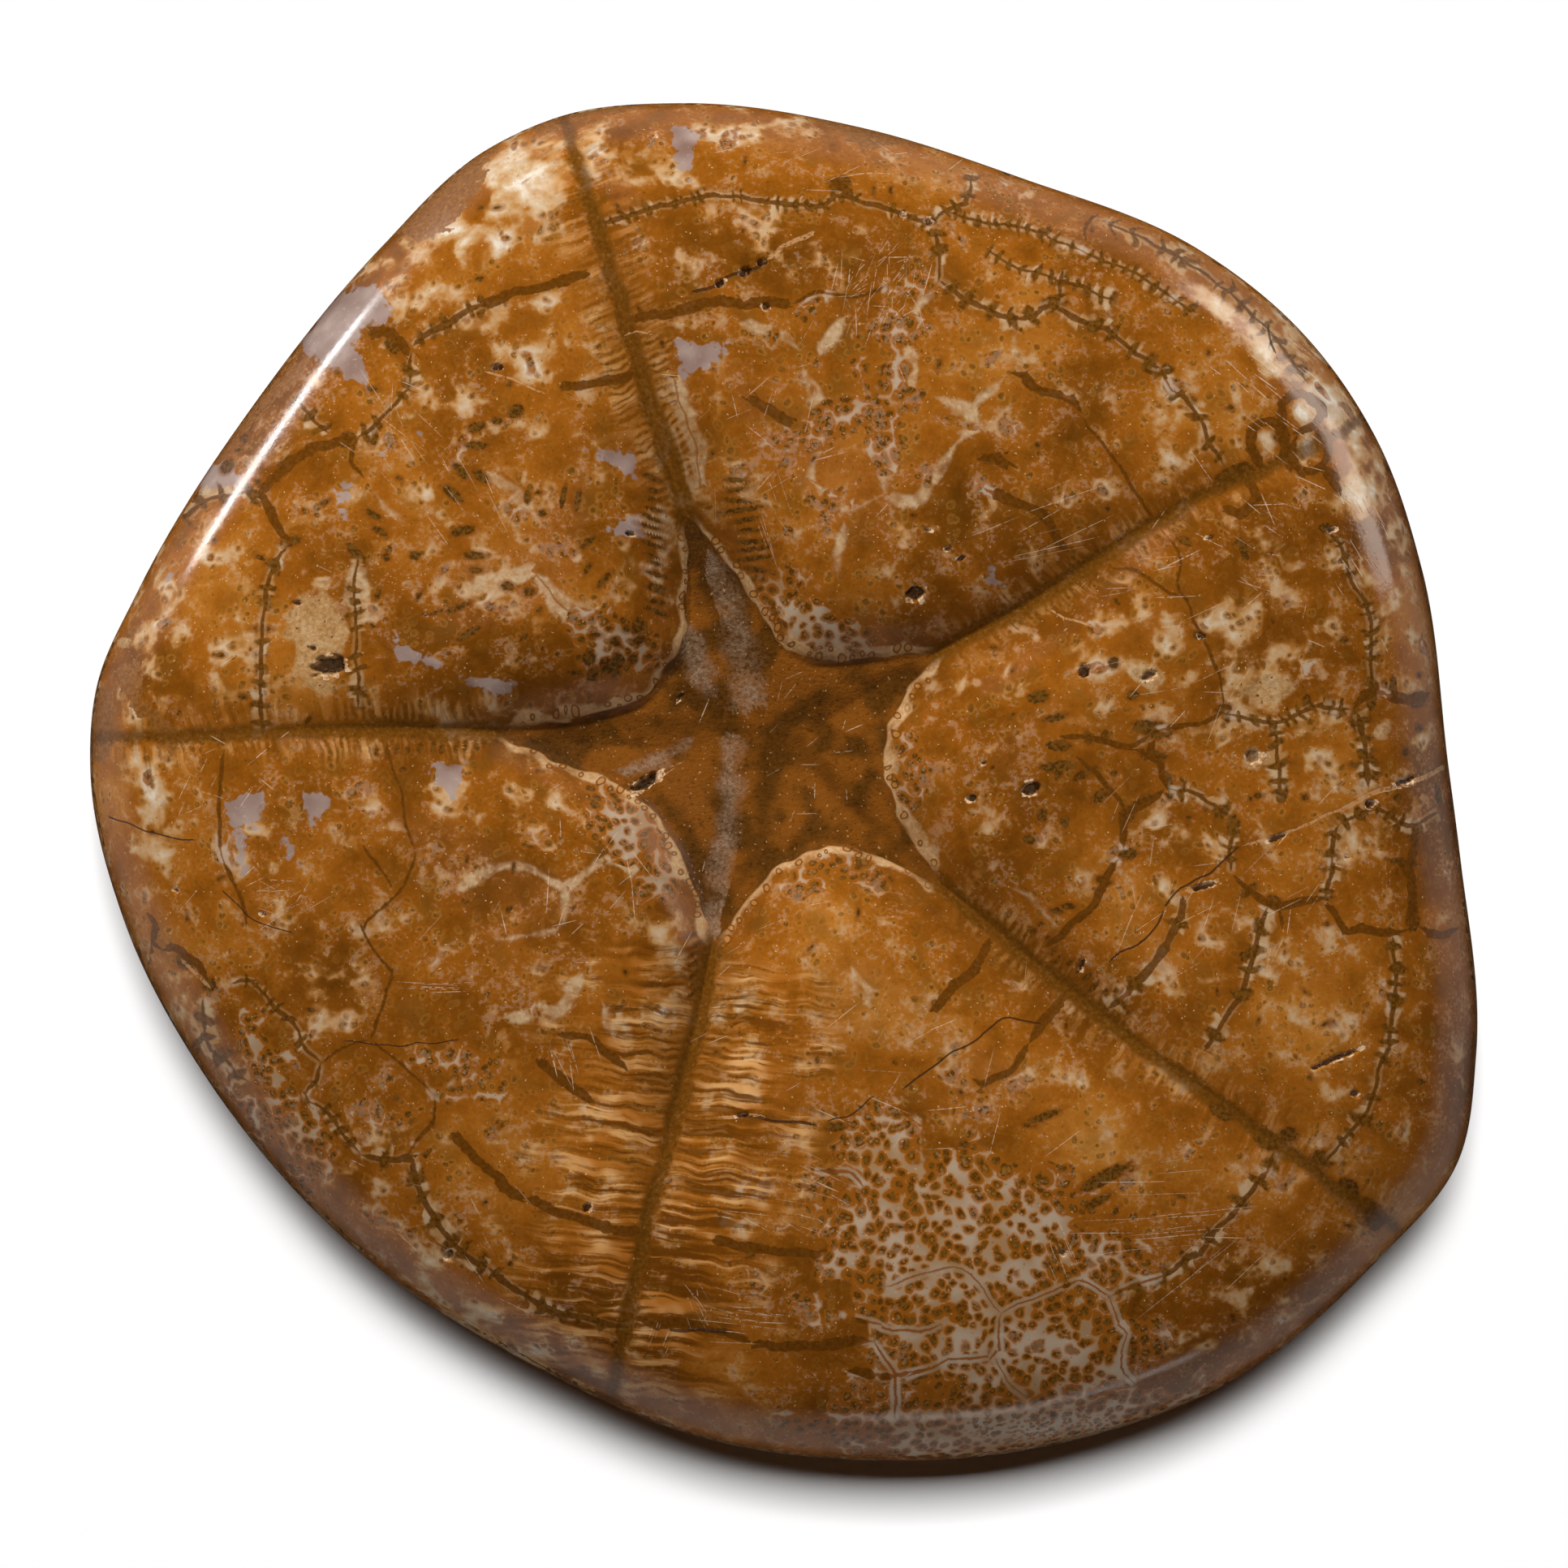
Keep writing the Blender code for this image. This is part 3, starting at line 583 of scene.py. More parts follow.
# Middle, half length, half width and direction in degrees of single dark plates
DARK_PLATES: list[tuple[float, float, float, float, float]] = [
    (17, 2, 0.75, 0.32, 0), (17, 0.7, 0.95, 0.34, 5), (18.7, 0.3, 0.75, 0.26, 30), (19.7, -1, 0.8, 0.36, 35),
    (18.8, 2.5, 0.25, 0.45, 10), (19.9, 2.5, 0.25, 0.45, 5), (15.7, 5, 0.7, 0.42, 10),
    (16.8, 3.7, 0.85, 0.26, 12), (16, -2.3, 0.35, 0.4, 0), (17.4, -2.7, 0.3, 0.36, 0), (15.2, -3.8, 0.4, 0.3, 0),
    (20.4, 7.1, 0.36, 0.4, 0), (21.6, 5.1, 0.42, 0.3, 20), (22.8, 3, 1.25, 0.5, -8), (27.2, 4.2, 0.5, 0.34, 0),
    (27.4, 3.7, 0.2, 0.34, 0), (32.3, 4.7, 0.28, 0.5, 5), (33.6, 4.6, 0.24, 0.42, 0), (35.5, 3.4, 0.6, 0.85, 10),
    (36.2, 1.7, 0.42, 0.24, 0), (35.7, 0.8, 0.8, 0.22, 3), (36.4, 0.3, 0.4, 0.22, 0), (30.8, -0.9, 0.32, 0.6, -8),
    (30.5, 0.95, 0.7, 0.2, 0), (22.8, 1.4, 0.85, 0.34, -8), (23.8, -0.2, 0.3, 0.55, 5), (23.9, -0.9, 0.3, 0.42, 0),
    (27.7, -2.6, 0.3, 0.4, 0), (21.2, -2.2, 0.46, 0.5, 0), (21.3, -4.7, 0.62, 0.36, 10), (22.3, -1.3, 0.46, 0.24, 45),
    (19.8, -6.3, 0.5, 0.26, -15), (28.8, -6.9, 0.6, 0.26, 40), (30.2, -7.6, 0.46, 0.4, 0), (33.5, -7.3, 0.42, 0.32, 0),
    (38.9, -3.5, 0.42, 0.75, 5), (38.3, -5.2, 0.9, 0.26, -8), (38.8, -8.8, 0.46, 0.7, 0), (28.4, -13.1, 0.34, 0.3, 0),
    (28.5, -11, 0.3, 0.3, 0), (36.3, 5, 0.34, 0.8, 0), (37.6, 5.4, 0.26, 0.85, 0), (39, 4.8, 0.55, 0.45, 0),
    (36.4, 9.8, 0.42, 0.2, 0), (36.4, 7.6, 0.38, 0.16, 0), (35.7, 11, 0.34, 0.38, 0), (34.8, 12.4, 0.4, 0.2, 0),
    (33.4, 15.4, 0.4, 0.3, 0), (28.4, 14.1, 0.3, 0.75, 18), (24.8, 14.6, 0.5, 0.22, -25), (34.6, 8.5, 0.24, 0.24, 0),
    (25.7, 8.8, 0.5, 0.26, -20), (39.2, 3.1, 0.3, 0.36, 0), (38.4, 1.6, 0.26, 0.26, 0), (40.4, -1, 0.2, 0.8, 8),
    (37.9, -1.2, 0.26, 0.26, 0), (32.2, -1.2, 0.26, 0.26, 0), (29.3, -1.1, 0.28, 0.2, 0), (26.1, -1.9, 0.2, 0.2, 0),
    (16.9, -8.2, 0.4, 0.22, 0), (3.6, 36.6, 0.75, 0.5, 20), (16.7, 29.1, 0.75, 0.5, 0), (18.9, 28.1, 0.42, 0.3, 0),
    (22.7, 25.3, 0.42, 0.42, 0), (23.7, 25.2, 0.36, 0.3, 0), (25.2, 23.2, 0.3, 0.3, 0), (28, 18.8, 1.3, 0.55, 25),
    (13, 19.6, 0.6, 0.3, 0), (-31.3, 13.2, 0.62, 0.2, 0), (-31.7, 11.2, 0.38, 0.16, 0), (-32, 9.2, 0.58, 0.2, 0),
    (-32.1, 7.6, 0.34, 0.16, 0), (-32.1, 6.6, 0.3, 0.26, 0), (-32.2, 5.3, 0.3, 0.2, 0), (-18.6, 29, 0.26, 0.72, 0),
    (-21.5, 27.5, 0.24, 0.5, 0), (-30.3, 14.6, 0.7, 0.32, 15), (-32.4, 17.3, 0.46, 0.42, 0), (-24, 26.6, 0.6, 0.42, -45),
    (-23, 24.3, 0.42, 0.22, 0), (-29.2, 22.3, 0.42, 0.3, 0), (-26.8, 20.8, 0.5, 0.5, 40), (-25.2, 21, 0.3, 0.46, 0),
    (-19, 20.5, 0.85, 0.26, -3), (-18.8, 21.6, 0.6, 0.34, 20), (-19.8, 18.9, 0.7, 0.26, -45), (-18.6, 18.6, 0.55, 0.3, -40),
    (-20.3, 17.5, 0.85, 0.34, -40), (-16.4, 22.6, 0.5, 0.42, 20), (-17.6, 22, 0.34, 0.26, 0), (-15.7, 17.3, 0.22, 0.42, 0),
    (-13.5, 17.4, 0.2, 0.75, -12), (-12.6, 17.1, 0.2, 0.7, -10), (-14.8, 16.3, 0.26, 0.26, 0), (-19.7, 15.2, 0.72, 0.3, 12),
    (-19, 13.7, 0.7, 0.28, -3), (-18.9, 12.8, 0.48, 0.22, 0), (-25.2, 16.2, 0.6, 0.24, -28), (-24.8, 15.2, 0.55, 0.22, -30),
    (-26.3, 13.9, 0.9, 0.3, -50), (-12, 14.5, 0.6, 0.22, 42), (-12, 12.9, 0.42, 0.16, 62), (-11, 12.2, 0.55, 0.18, 50),
    (-20, 10.5, 0.9, 0.22, 22), (-21, 10.3, 0.8, 0.14, 18), (-19.3, 8.9, 0.9, 0.26, 30), (-15.9, 8.7, 0.34, 0.16, 50),
    (-24.9, 11.3, 0.34, 0.14, 55), (-22.4, 11.2, 0.42, 0.14, 60), (-26.2, 10.9, 0.16, 0.6, 18), (-26.2, 9.5, 0.2, 0.46, 0),
    (-16.9, 11.8, 0.4, 0.28, 0), (-15.6, 11.5, 0.36, 0.26, 0), (-22.6, 13.7, 0.36, 0.3, 0), (-24.4, 13.6, 0.26, 0.26, 0),
    (-11.9, 7.3, 0.4, 0.42, 0), (-10.8, 6.9, 0.46, 0.5, 0), (-10.2, 7.2, 0.42, 0.4, 0), (-9.2, 7.3, 0.26, 0.26, 0),
    (-11.7, 6.4, 0.34, 0.42, 0), (-12.8, 6.5, 0.5, 0.16, 0), (-8.9, 9.4, 0.42, 0.48, 0), (-9.6, 9.2, 0.24, 0.24, 0),
    (-8.8, 8.5, 0.38, 0.26, 10), (-11.5, 8.8, 0.34, 0.18, 0), (-10.3, 8.4, 0.28, 0.28, 0), (-9.8, 9.7, 0.22, 0.22, 0),
    (-35.3, -12.7, 0.5, 0.5, 0), (-36.8, -11.4, 0.6, 0.36, -30), (3.3, -21.5, 0.6, 0.24, 0), (19.9, -24.6, 1.6, 0.42, 28),
    (19.4, -26.1, 0.9, 0.24, 28), (16, -20.9, 1.1, 0.22, 20), (15.2, -21.4, 0.5, 0.16, 0), (17.6, -7.9, 0.5, 0.2, 0),
    (-13.6, 2.0, 0.8, 0.16, 5), (29.8, -22.4, 0.8, 0.5, -35), (31.2, -21.9, 0.5, 0.42, 0), (33.2, -23.4, 0.7, 0.46, -40),
    (34.9, -25.2, 0.8, 0.5, -40), (36.4, -27.2, 0.6, 0.7, 0), (27, -20.6, 0.8, 0.36, -35), (11.2, -22.6, 0.4, 0.26, 0),
    (-34.2, 19.2, 0.5, 0.36, 45), (-33.1, 20.9, 0.34, 0.3, 0), (-33.4, 22.3, 0.4, 0.34, 50), (31, 21, 0.22, 0.3, 0),
]

# Rows of short dark bars beside the mouth: both ends of the row, how many, and a bar's half length and direction
BAR_ROWS = [
    (-7.9, 18.4, -7.8, 10.2, 15, 0.8, -18), (-2.9, 18.4, -1.5, 12.8, 10, 1.1, 4), (-13.4, 2.6, -25, 1.6, 18, 0.4, 84),
    (-5.4, -9.6, -5.4, -13.2, 7, 0.7, 30), (15.6, -9.6, 21.4, -14.6, 12, 0.4, 50),
]

# Pieces of clear calcite, and of brown sediment, that break through the shell plates
CALCITE: list[list[Point]] = [
    [(-25, 30.7), (-24, 28.9), (-24.1, 27.4), (-25.2, 28), (-26.3, 27), (-25.9, 25.9), (-25.2, 23.4),
     (-27.3, 25), (-29.6, 26.2), (-29.8, 27.2), (-27.8, 29.8)],
    [(-36.8, 16), (-35.4, 19.6), (-34.2, 19.8), (-33.2, 18.7), (-33.3, 17.5), (-34.5, 17.4), (-36.2, 16.6)],
    [(-12.9, 20.2), (-8.8, 20.3), (-9, 18.2)],
    [(-11.3, 15.1), (-9, 16.7), (-8.6, 15.8), (-7.9, 14.3), (-9.4, 14.7)],
    [(-24.3, 9.2), (-23.9, 6.7), (-22.5, 7), (-20.3, 6.6)],
    [(-19.9, 6.4), (-15.9, 6), (-16.5, 5.6), (-17.4, 4.8), (-18.3, 5.2), (-19, 5.7), (-19.6, 5.2)],
    [(-7.8, 27.2), (-6, 27.3), (-5.6, 26.9), (-4.5, 26.8), (-2.5, 27.1), (-4.6, 25.2), (-5.8, 24.6),
     (-6.4, 24.6), (-6.5, 26)],
    [(-7.1, 40.3), (-5, 40.2), (-5.2, 38.5), (-5.8, 36.2), (-6.8, 38.3)],
    [(12.4, 14.2), (13, 13.6), (13.9, 11.6), (12.6, 12)],
    [(-34.6, -1.2), (-31.8, -0.7), (-32, -3.4), (-33, -3), (-32.9, -6), (-33.4, -6.4), (-33.9, -4.5),
     (-34.1, -3)],
    [(-30, -0.6), (-28, -0.8), (-27.6, -1.5), (-28.5, -3.4), (-29.3, -2.5), (-29.8, -1.2)],
    [(-31.2, -3), (-30, -4), (-29.3, -6.2), (-30, -6), (-31, -4.2)],
    [(-21.9, 0.2), (-21.4, 1.2), (-19.4, 0.9), (-20.1, -1.6)],
    [(-27.9, 17.8), (-26.4, 18.5), (-27, 15.2), (-27.5, 16.6)],
    [(-23.2, 21.7), (-22.2, 21.6), (-22.3, 20.7)],
    [(-24.9, 20), (-24.2, 21), (-24.2, 19.2)],
    [(-4.6, 28.7), (-3.9, 28.6), (-4.4, 27.8)],
    [(-38.6, 12.8), (-36.2, 12.9), (-36, 12.5), (-38, 12.1)],
]
SEDIMENT: list[list[Point]] = [
    [(-24, 33.6), (-22, 36.4), (-16.5, 40), (-17.8, 38), (-18.8, 36), (-20.5, 33.6), (-22.5, 32.8)],
    [(-16.4, 40.6), (-13, 41.8), (-6, 42.4), (-8.6, 41.2), (-12.4, 40.4), (-15, 39.5)],
    [(0.4, 42), (1.2, 40.6), (3.2, 39.7), (5, 38.6), (7.2, 38.9), (9.6, 38.6), (11, 39.4)],
    [(-43, 1), (-42.6, 5.6), (-41, 5.8), (-40.8, 3.3), (-41.6, 0.8)],
    [(-41.4, 6.6), (-39.6, 7.6), (-39.2, 4.8), (-38, 4), (-37.3, 3.2), (-37, 0.8), (-38.6, 2.2), (-40.2, 4.4)],
    [(36.4, -26.6), (34.4, -25.4), (33.4, -23.6), (31.6, -22.6), (31.4, -23.4), (33.4, -25.6), (36.4, -28.2)],
    [(-28.8, 26.9), (-29.3, 24.6), (-31.8, 22.6), (-33.6, 20), (-36, 17.8), (-34, 21.5), (-31, 25)],
]

# Soft areas as middle, half sizes and strength
CREAM_AND_SHOULDER_SHEEN_AREAS = [
    (-15.5, 37.6, 3.6, 1.8, 1.2), (-12, 39, 3, 0.9, 1), (-20, 32.5, 1.9, 1.5, 1.3), (-1.5, 40, 3.2, 1.3, 1),
    (-15, 25.8, 3.4, 2, 0.9), (-20.5, 23, 2, 0.8, 1), (-22.5, 17.6, 2, 0.6, 1), (22, 8.5, 3.4, 3.2, 0.8),
    (28, 5.5, 4.6, 2.8, 0.9), (33, 1.5, 3, 2.6, 0.5), (37.2, 3, 1.2, 1.1, 1), (-39, 2, 2, 2, 0.5),
    (-38, 11.5, 1.8, 0.8, 1), (-37, 9, 0.9, 0.8, 0.9), (-28, -14, 1.8, 2.2, 1.2), (-2, -19.5, 2.6, 1.1, 1.1),
    (-1.8, -15, 2.2, 1.5, 0.8), (-2.5, -27.5, 1.6, 1, 0.9), (-7.3, -10.3, 1.2, 2.1, 1.3), (-7, -14, 1, 1.4, 1.1),
    (-10.5, -15, 2, 1.8, 0.7), (33, -18.7, 1.4, 1.3, 0.9), (29, 24, 3.2, 2, 0.5), (38.5, 8, 0.9, 5, 0.7),
    (-28.4, 9.2, 1.7, 3.4, 0.9), (-29.8, -13, 2, 1.8, 0.7), (-17.4, 35.2, 1.4, 1.6, 0.9), (-24.6, 31.6, 1.4, 0.7, 1),
    # These four ovals follow the bright band along the upper right shoulder: partly the shell's pale cream and partly a
    # painted sheen.
    (27, 29.4, 2.2, 1.6, 1.4), (30.4, 26.4, 1.9, 2, 1.5), (33.2, 23, 1.7, 2.2, 1.5), (35.6, 18.6, 1.5, 3, 1.4),
    (30, 20.9, 0.7, 0.9, 1.6), (32.1, 22.4, 0.8, 0.7, 1.6), (32.5, 20.2, 0.6, 0.8, 1.6), (28.1, 17.4, 0.6, 0.6, 1.2),
    (-8.8, 14, 1.4, 4, 0.5), (-1.6, 15.6, 2, 2.4, 0.5), (30, -31, 2.4, 1.6, 0.9), (25, -34.6, 2.6, 1, 0.8),
    (32.4, 1.6, 1.8, 2.2, 0.9), (35.4, -3.8, 2, 1.6, 0.7), (29, 6, 2, 1, 0.7), (27.6, -4, 1.6, 1.4, 0.7), (24, 20.6, 4, 4, 0.55), (-16.2, 36.6, 2.6, 2.4, 1.7), (-22, -30.4, 1.6, 1.6, 1.1), (-19, -33.2, 2, 1.2, 1.3), (-15.6, -35.8, 2, 1, 1.3), (-12, -37.6, 2, 0.8, 1), (-38.8, -3, 1.8, 3.4, 1.2), (-39.6, 3, 1.2, 1.6, 1), (-6.6, 15, 2.2, 4.4, 0.9), (-5, 11, 2, 2.6, 0.8), (-8, 36.5, 2.6, 1.8, 1.1), (-36.4, -15.6, 1.2, 3, 0.8), (-19, 2.4, 6, 2.2, 0.6), (-18, -1.2, 5, 1.8, 0.6), (17, 8, 3, 2, 0.6), (-20.2, 33.6, 3.2, 2, 1.6), (28, 8.8, 4.4, 3, 0.9), (37.4, 12, 1.4, 4, 1), (-22, 29.6, 2.4, 1.4, 1), (-39.4, 8.4, 1.2, 3, 1), (-16, 29.4, 2.4, 1.2, 0.8),
    (27, -11.4, 3.4, 3.4, 0.5), (31, 11, 4, 4, 0.5), (24.4, -3, 1.6, 1.2, 0.5), (-39.4, 0, 1.6, 2.6, 0.6),
    (-9, 10, 1.4, 1.6, 0.8), (-10.6, -2.4, 1.8, 1.6, 0.9), (9.4, 5.8, 4, 0.8, 0.9), (7, -1, 1, 5, 0.9),
    (4, -4.9, 5, 1, 0.9), (-12, 3.9, 4, 0.7, 0.9), (-4.4, 12.6, 0.8, 2.6, 0.8), (-19, 13.4, 2.4, 3, 0.55),
    (-15, 20.6, 3, 2.6, 0.5), (-2, 33, 5.6, 1.6, 0.65), (4, 32.4, 4, 2.4, 0.6), (-34, 8, 2.2, 5, 0.5),
    (-35, 13, 3, 2, 0.7), (16, 8, 4, 2, 0.35), (20, -20, 4, 2.6, 0.35), (33, -12, 3.4, 3.4, 0.5),
    (11, -28, 6.4, 5.4, 0.5), (-33, -6, 2.6, 4, 0.5), (-29, 29.5, 1.8, 3, 0.8), (-18, -28, 4, 3, 0.3),
    (-27, -24, 2.6, 2.2, 0.6), (22, 17, 3, 2, 0.25), (34, 12, 3, 3, 0.5), (-21, -16, 3.2, 2.6, 0.3),
]
SPOTTED_AREAS = [
    (11, -29, 8, 5.6, 1.0), (14, -34.6, 8, 4, 1.0), (6, -23, 2.4, 2.2, 0.9), (11.6, -24.8, 2.4, 1.6, 0.8),
    (-29.4, -22.6, 1.8, 2, 0.8), (16, -40, 11, 2.4, 1.1), (-10.4, 8.2, 2.8, 1.8, 0.9), (-9.5, -3.4, 2, 1.8, 0.8),
    (4.4, 23.6, 6, 6.4, 0.3), (-20.6, -18.4, 4, 3.4, 0.35), (7.4, -0.4, 1.4, 4.4, 0.5), (20, -30, 3, 2, 0.6),
    (9, 31, 2, 2, 0.35), (-32, -19, 2.2, 5, 0.5), (3.6, 8.5, 2, 1.2, 0.9), (4, -5.6, 4, 1.2, 0.5),
    (-0.6, 11.6, 1.5, 1.6, 0.8), (1.4, 9.7, 1.6, 1.3, 0.9), (-7.4, -6, 1.5, 1.8, 0.8), (-11.4, -1, 1.4, 1.4, 0.6),
]
DARK_AREAS = [
    (-6, 24, 1.6, 6, 0.5), (-14, 7.4, 4, 2.4, 0.55), (14, 9.8, 6, 2, 0.35), (9, 11, 2.6, 3, 0.45),
    (0, 4, 8, 6, 0.2), (12, 27, 3, 5, 0.15), (-30, 19.4, 3, 1.4, 0.3), (18, 13, 6, 2, 0.5),
    (-17, 3.2, 8, 1, 0.2), (-16, 2, 8, 1.2, 0.25), (20, -14.6, 5, 1.6, 0.4), (-7.4, -27, 1.4, 7, 0.5),
    (-4, -33, 6, 1.6, 0.3), (18, 22, 5, 3, 0.2), (13, -13, 5, 2, 0.2), (24, -31, 4, 2, 0.2),
    (-18, -9, 8, 6, 0.3), (20, 14, 8, 4, 0.3), (8, 18, 7, 5, 0.2), (14, -4, 5, 5, 0.2),
]
CHALKY_AREAS = [
    (-28.6, 8.6, 1.9, 3.2, 1.0), (22.6, 6.3, 1.2, 0.7, 0.9), (29, 1.3, 0.8, 0.8, 1.0), (30, 5.4, 2.6, 0.9, 0.8),
    (37.1, 2.9, 0.9, 0.8, 0.8), (-24.6, 7.4, 1, 1.2, 0.6), (33.4, 15.2, 1.6, 0.8, 0.5), (23.6, 5.4, 1.6, 0.8, 0.5),
    (-40.6, 8.4, 0.6, 0.5, 0.8), (34.6, -18, 2.4, 0.9, 0.4), (-38.2, 14, 0.8, 2, 0.5),
]

# Pits as middle, half length, half width, direction in degrees and depth
PITS = [
    (-27.9, 6.9, 0.95, 0.62, 10, 1.3), (-8.4, -0.25, 0.95, 0.34, 32, 0.9), (15.3, -0.7, 0.55, 0.42, 20, 0.9),
    (11.6, -1.3, 0.28, 0.24, 0, 0.6), (18.6, 6.6, 0.3, 0.36, 0, 1.0), (8.2, 11.3, 0.5, 0.42, 40, 0.8),
    (9.1, 34.3, 0.26, 0.24, 0, 0.7), (-3.8, 30.5, 0.34, 0.2, 20, 0.7), (-2.3, 31.2, 0.42, 0.2, 25, 0.7),
    (-1.2, 31.8, 0.28, 0.18, 20, 0.6), (-1, 29, 0.26, 0.2, 0, 0.5), (22.6, 6.3, 0.5, 0.26, 20, 0.5),
    (29, 1.3, 0.46, 0.4, 0, 0.25), (34.2, -17.3, 1.5, 0.14, 22, 0.5), (35.3, -19.5, 0.26, 0.18, 0, 0.4),
    (26, -6.7, 0.7, 0.18, 14, 0.5), (-20.6, -29.4, 0.34, 0.22, 60, 0.6), (-12, -26.5, 0.3, 0.2, 50, 0.5),
    (10.2, 14.1, 0.2, 0.14, 0, 0.4), (11, 13.5, 0.26, 0.14, 20, 0.4), (9, 15.3, 0.22, 0.12, -20, 0.3),
    (12.4, 0.9, 0.16, 0.14, 0, 0.3), (18.4, -11.6, 0.5, 0.14, 65, 0.5), (-37.4, -6.9, 0.18, 0.14, 0, 0.4),
    (-32, -8.4, 0.2, 0.14, 0, 0.3), (-17.6, 25.3, 0.34, 0.18, 15, 0.6), (30.5, -3.7, 0.62, 0.16, 22, 0.5),
    (36.3, -1.6, 0.3, 0.22, 0, 0.5), (38.4, -0.2, 0.6, 0.18, 18, 0.4), (-9.3, 15, 0.3, 0.12, -10, 0.4),
    (25.8, 8.7, 0.3, 0.14, -30, 0.4), (-29.9, 10.8, 0.26, 0.14, 0, 0.4), (-28.9, 8, 0.2, 0.16, 0, 0.4),
    (33.9, 15.3, 0.3, 0.14, 10, 0.4), (-22, 10, 0.12, 0.12, 0, 0.2), (-2.5, -20.8, 0.36, 0.12, 10, 0.4),
    (17.3, -29.3, 0.22, 0.2, 0, 0.3), (-8, 39.3, 0.4, 0.12, 60, 0.3), (7.5, 34.7, 0.2, 0.14, 0, 0.3),
    (34.8, -4.9, 0.18, 0.1, 0, 0.3), (26.3, 14.8, 0.26, 0.1, 10, 0.3), (-6.3, 4.9, 0.34, 0.1, 50, 0.3),
]

# Groups of straight scratches: middle, spread, mean direction and its spread, mean length, number
SCRATCH_GROUPS = [
    (6.0, 30.6, 3.0, 3.0, 60, 60, 1.9, 60), (-30.7, -7.6, 1.6, 1.4, 25, 50, 1.9, 20),
    (-2.6, -33.2, 3.2, 1.3, -8, 14, 3.2, 22), (-5.4, -32.8, 1.0, 1.2, -65, 20, 1.5, 12),
    (1.4, -25.6, 3, 2, -18, 16, 2.4, 16), (24, -27, 5, 4, 3, 10, 6, 16), (28, -28.6, 4, 3, 42, 8, 6, 6),
    (17.4, -29.3, 1.2, 1.6, -70, 12, 1.8, 10), (-13.4, -17, 1.6, 1.8, -75, 12, 2, 8),
    (-21.6, -12.7, 2, 0.4, 2, 6, 3, 5), (18, 14.6, 5, 3, 22, 8, 5, 8), (-0.4, 15.4, 1.4, 2.6, -70, 14, 2.6, 6),
    (28, -6, 8, 8, 60, 50, 2.2, 30), (-12, -8, 8, 7, 40, 60, 2, 26), (-22, 20, 6, 6, -55, 40, 2.2, 26),
    (24, 10, 8, 6, 20, 40, 2.4, 20), (4, 38, 8, 2, 12, 30, 1.8, 12), (8, -18, 8, 8, 30, 60, 2.4, 24),
    (-34, -2, 3.4, 6, 40, 60, 1.8, 22), (-20, -28, 6, 4, -40, 30, 1.8, 14), (-4, -13, 2, 3, 20, 50, 1.6, 8),
    (-7.2, -34.4, 1.2, 0.8, 70, 10, 0.9, 8), (0, 22, 8, 6, 30, 70, 1.8, 22), (30, 16, 5, 5, -30, 40, 1.8, 16),
    (0, 2, 6, 6, 40, 60, 1.2, 18), (31.6, 23.8, 4, 5, -40, 8, 1.4, 50), (36.4, 15, 2, 6, -60, 10, 1.2, 24),
]


# ---------------------------------------------------------------------------------------------------
# The camera, and places as it sees them
# ---------------------------------------------------------------------------------------------------


@dataclass
class StudioView:
    """The camera high over the mouth face, and the drawing plane that it gives.

    Args:
        elevation: The camera's height over the horizon, in degrees.
        lens: Focal length in millimetres.
        width: What the picture's width shows, at the height of the rim.
        drawn_width: The same width on the drawing plane, in its own millimetres.
        aim: The plan point at the middle of the picture.
        picture_middle: The middle of the picture on the drawing plane.
    """

    elevation: float = 87.0
    lens: float = 200.0
    sensor: float = 36.0
    width: float = 96.2 * MM
    drawn_width: float = 96.6
    aim: Point = (0.05 * MM, -0.3 * MM)
    picture_middle: Point = (0.1, -0.375)

    def __post_init__(self) -> None:
        angle = math.radians(self.elevation)
        self.distance = self.width * self.lens / self.sensor
        self.back = Vector((0.0, -math.cos(angle), math.sin(angle)))
        self.target = Vector((*self.aim, RIM_HEIGHT))
        self.place = self.target + self.back * self.distance
        self.turn = self.back.to_track_quat("Z", "Y")

    def seen(self, points: np.ndarray) -> np.ndarray:
        """Where points show on the drawing plane."""
        axes = np.array(self.turn.to_matrix())
        local = (points - np.array(self.place)) @ axes
        scale = self.distance / -local[:, 2:3] * self.drawn_width / self.width
        return local[:, :2] * scale + np.array(self.picture_middle)

    def add_camera(self) -> bpy.types.Object:
        """Makes the scene's camera."""
        data = bpy.data.cameras.new("studio_camera")
        data.lens = self.lens
        data.sensor_width = self.sensor
        data.clip_start = 0.01
        data.clip_end = 10.0
        camera = bpy.data.objects.new("studio_camera", data)
        camera.matrix_world = Matrix.LocRotScale(self.place, self.turn, None)
        bpy.context.scene.collection.objects.link(camera)
        bpy.context.scene.camera = camera
        return camera


# ---------------------------------------------------------------------------------------------------
# Keeping the lines on the mesh
# ---------------------------------------------------------------------------------------------------


def smooth_path(points: Sequence[Point], step: float, closed: bool = False) -> np.ndarray:
    """Points at an even step along a smooth curve through a few points."""
    rough = np.array(points, float)
    if len(rough) == 2:
        count = max(2, int(np.linalg.norm(rough[1] - rough[0]) / step) + 1)
        return np.linspace(rough[0], rough[1], count)
    before = rough[-1] if closed else 2 * rough[0] - rough[1]
    after = rough[:2] if closed else (2 * rough[-1] - rough[-2])[None]
    knots = np.concatenate([before[None], rough, after])
    pieces = []
    for i in range(1, len(knots) - 2):
        a, b, c, d = knots[i - 1 : i + 3]
        count = max(1, int(np.linalg.norm(c - b) / step))
        t = (np.arange(count) / count)[:, None]
        pieces.append(
            0.5 * (2 * b + (c - a) * t + (2 * a - 5 * b + 4 * c - d) * t**2 + (3 * b - a - 3 * c + d) * t**3)
        )
    pieces.append(knots[-2][None])
    return np.concatenate(pieces)


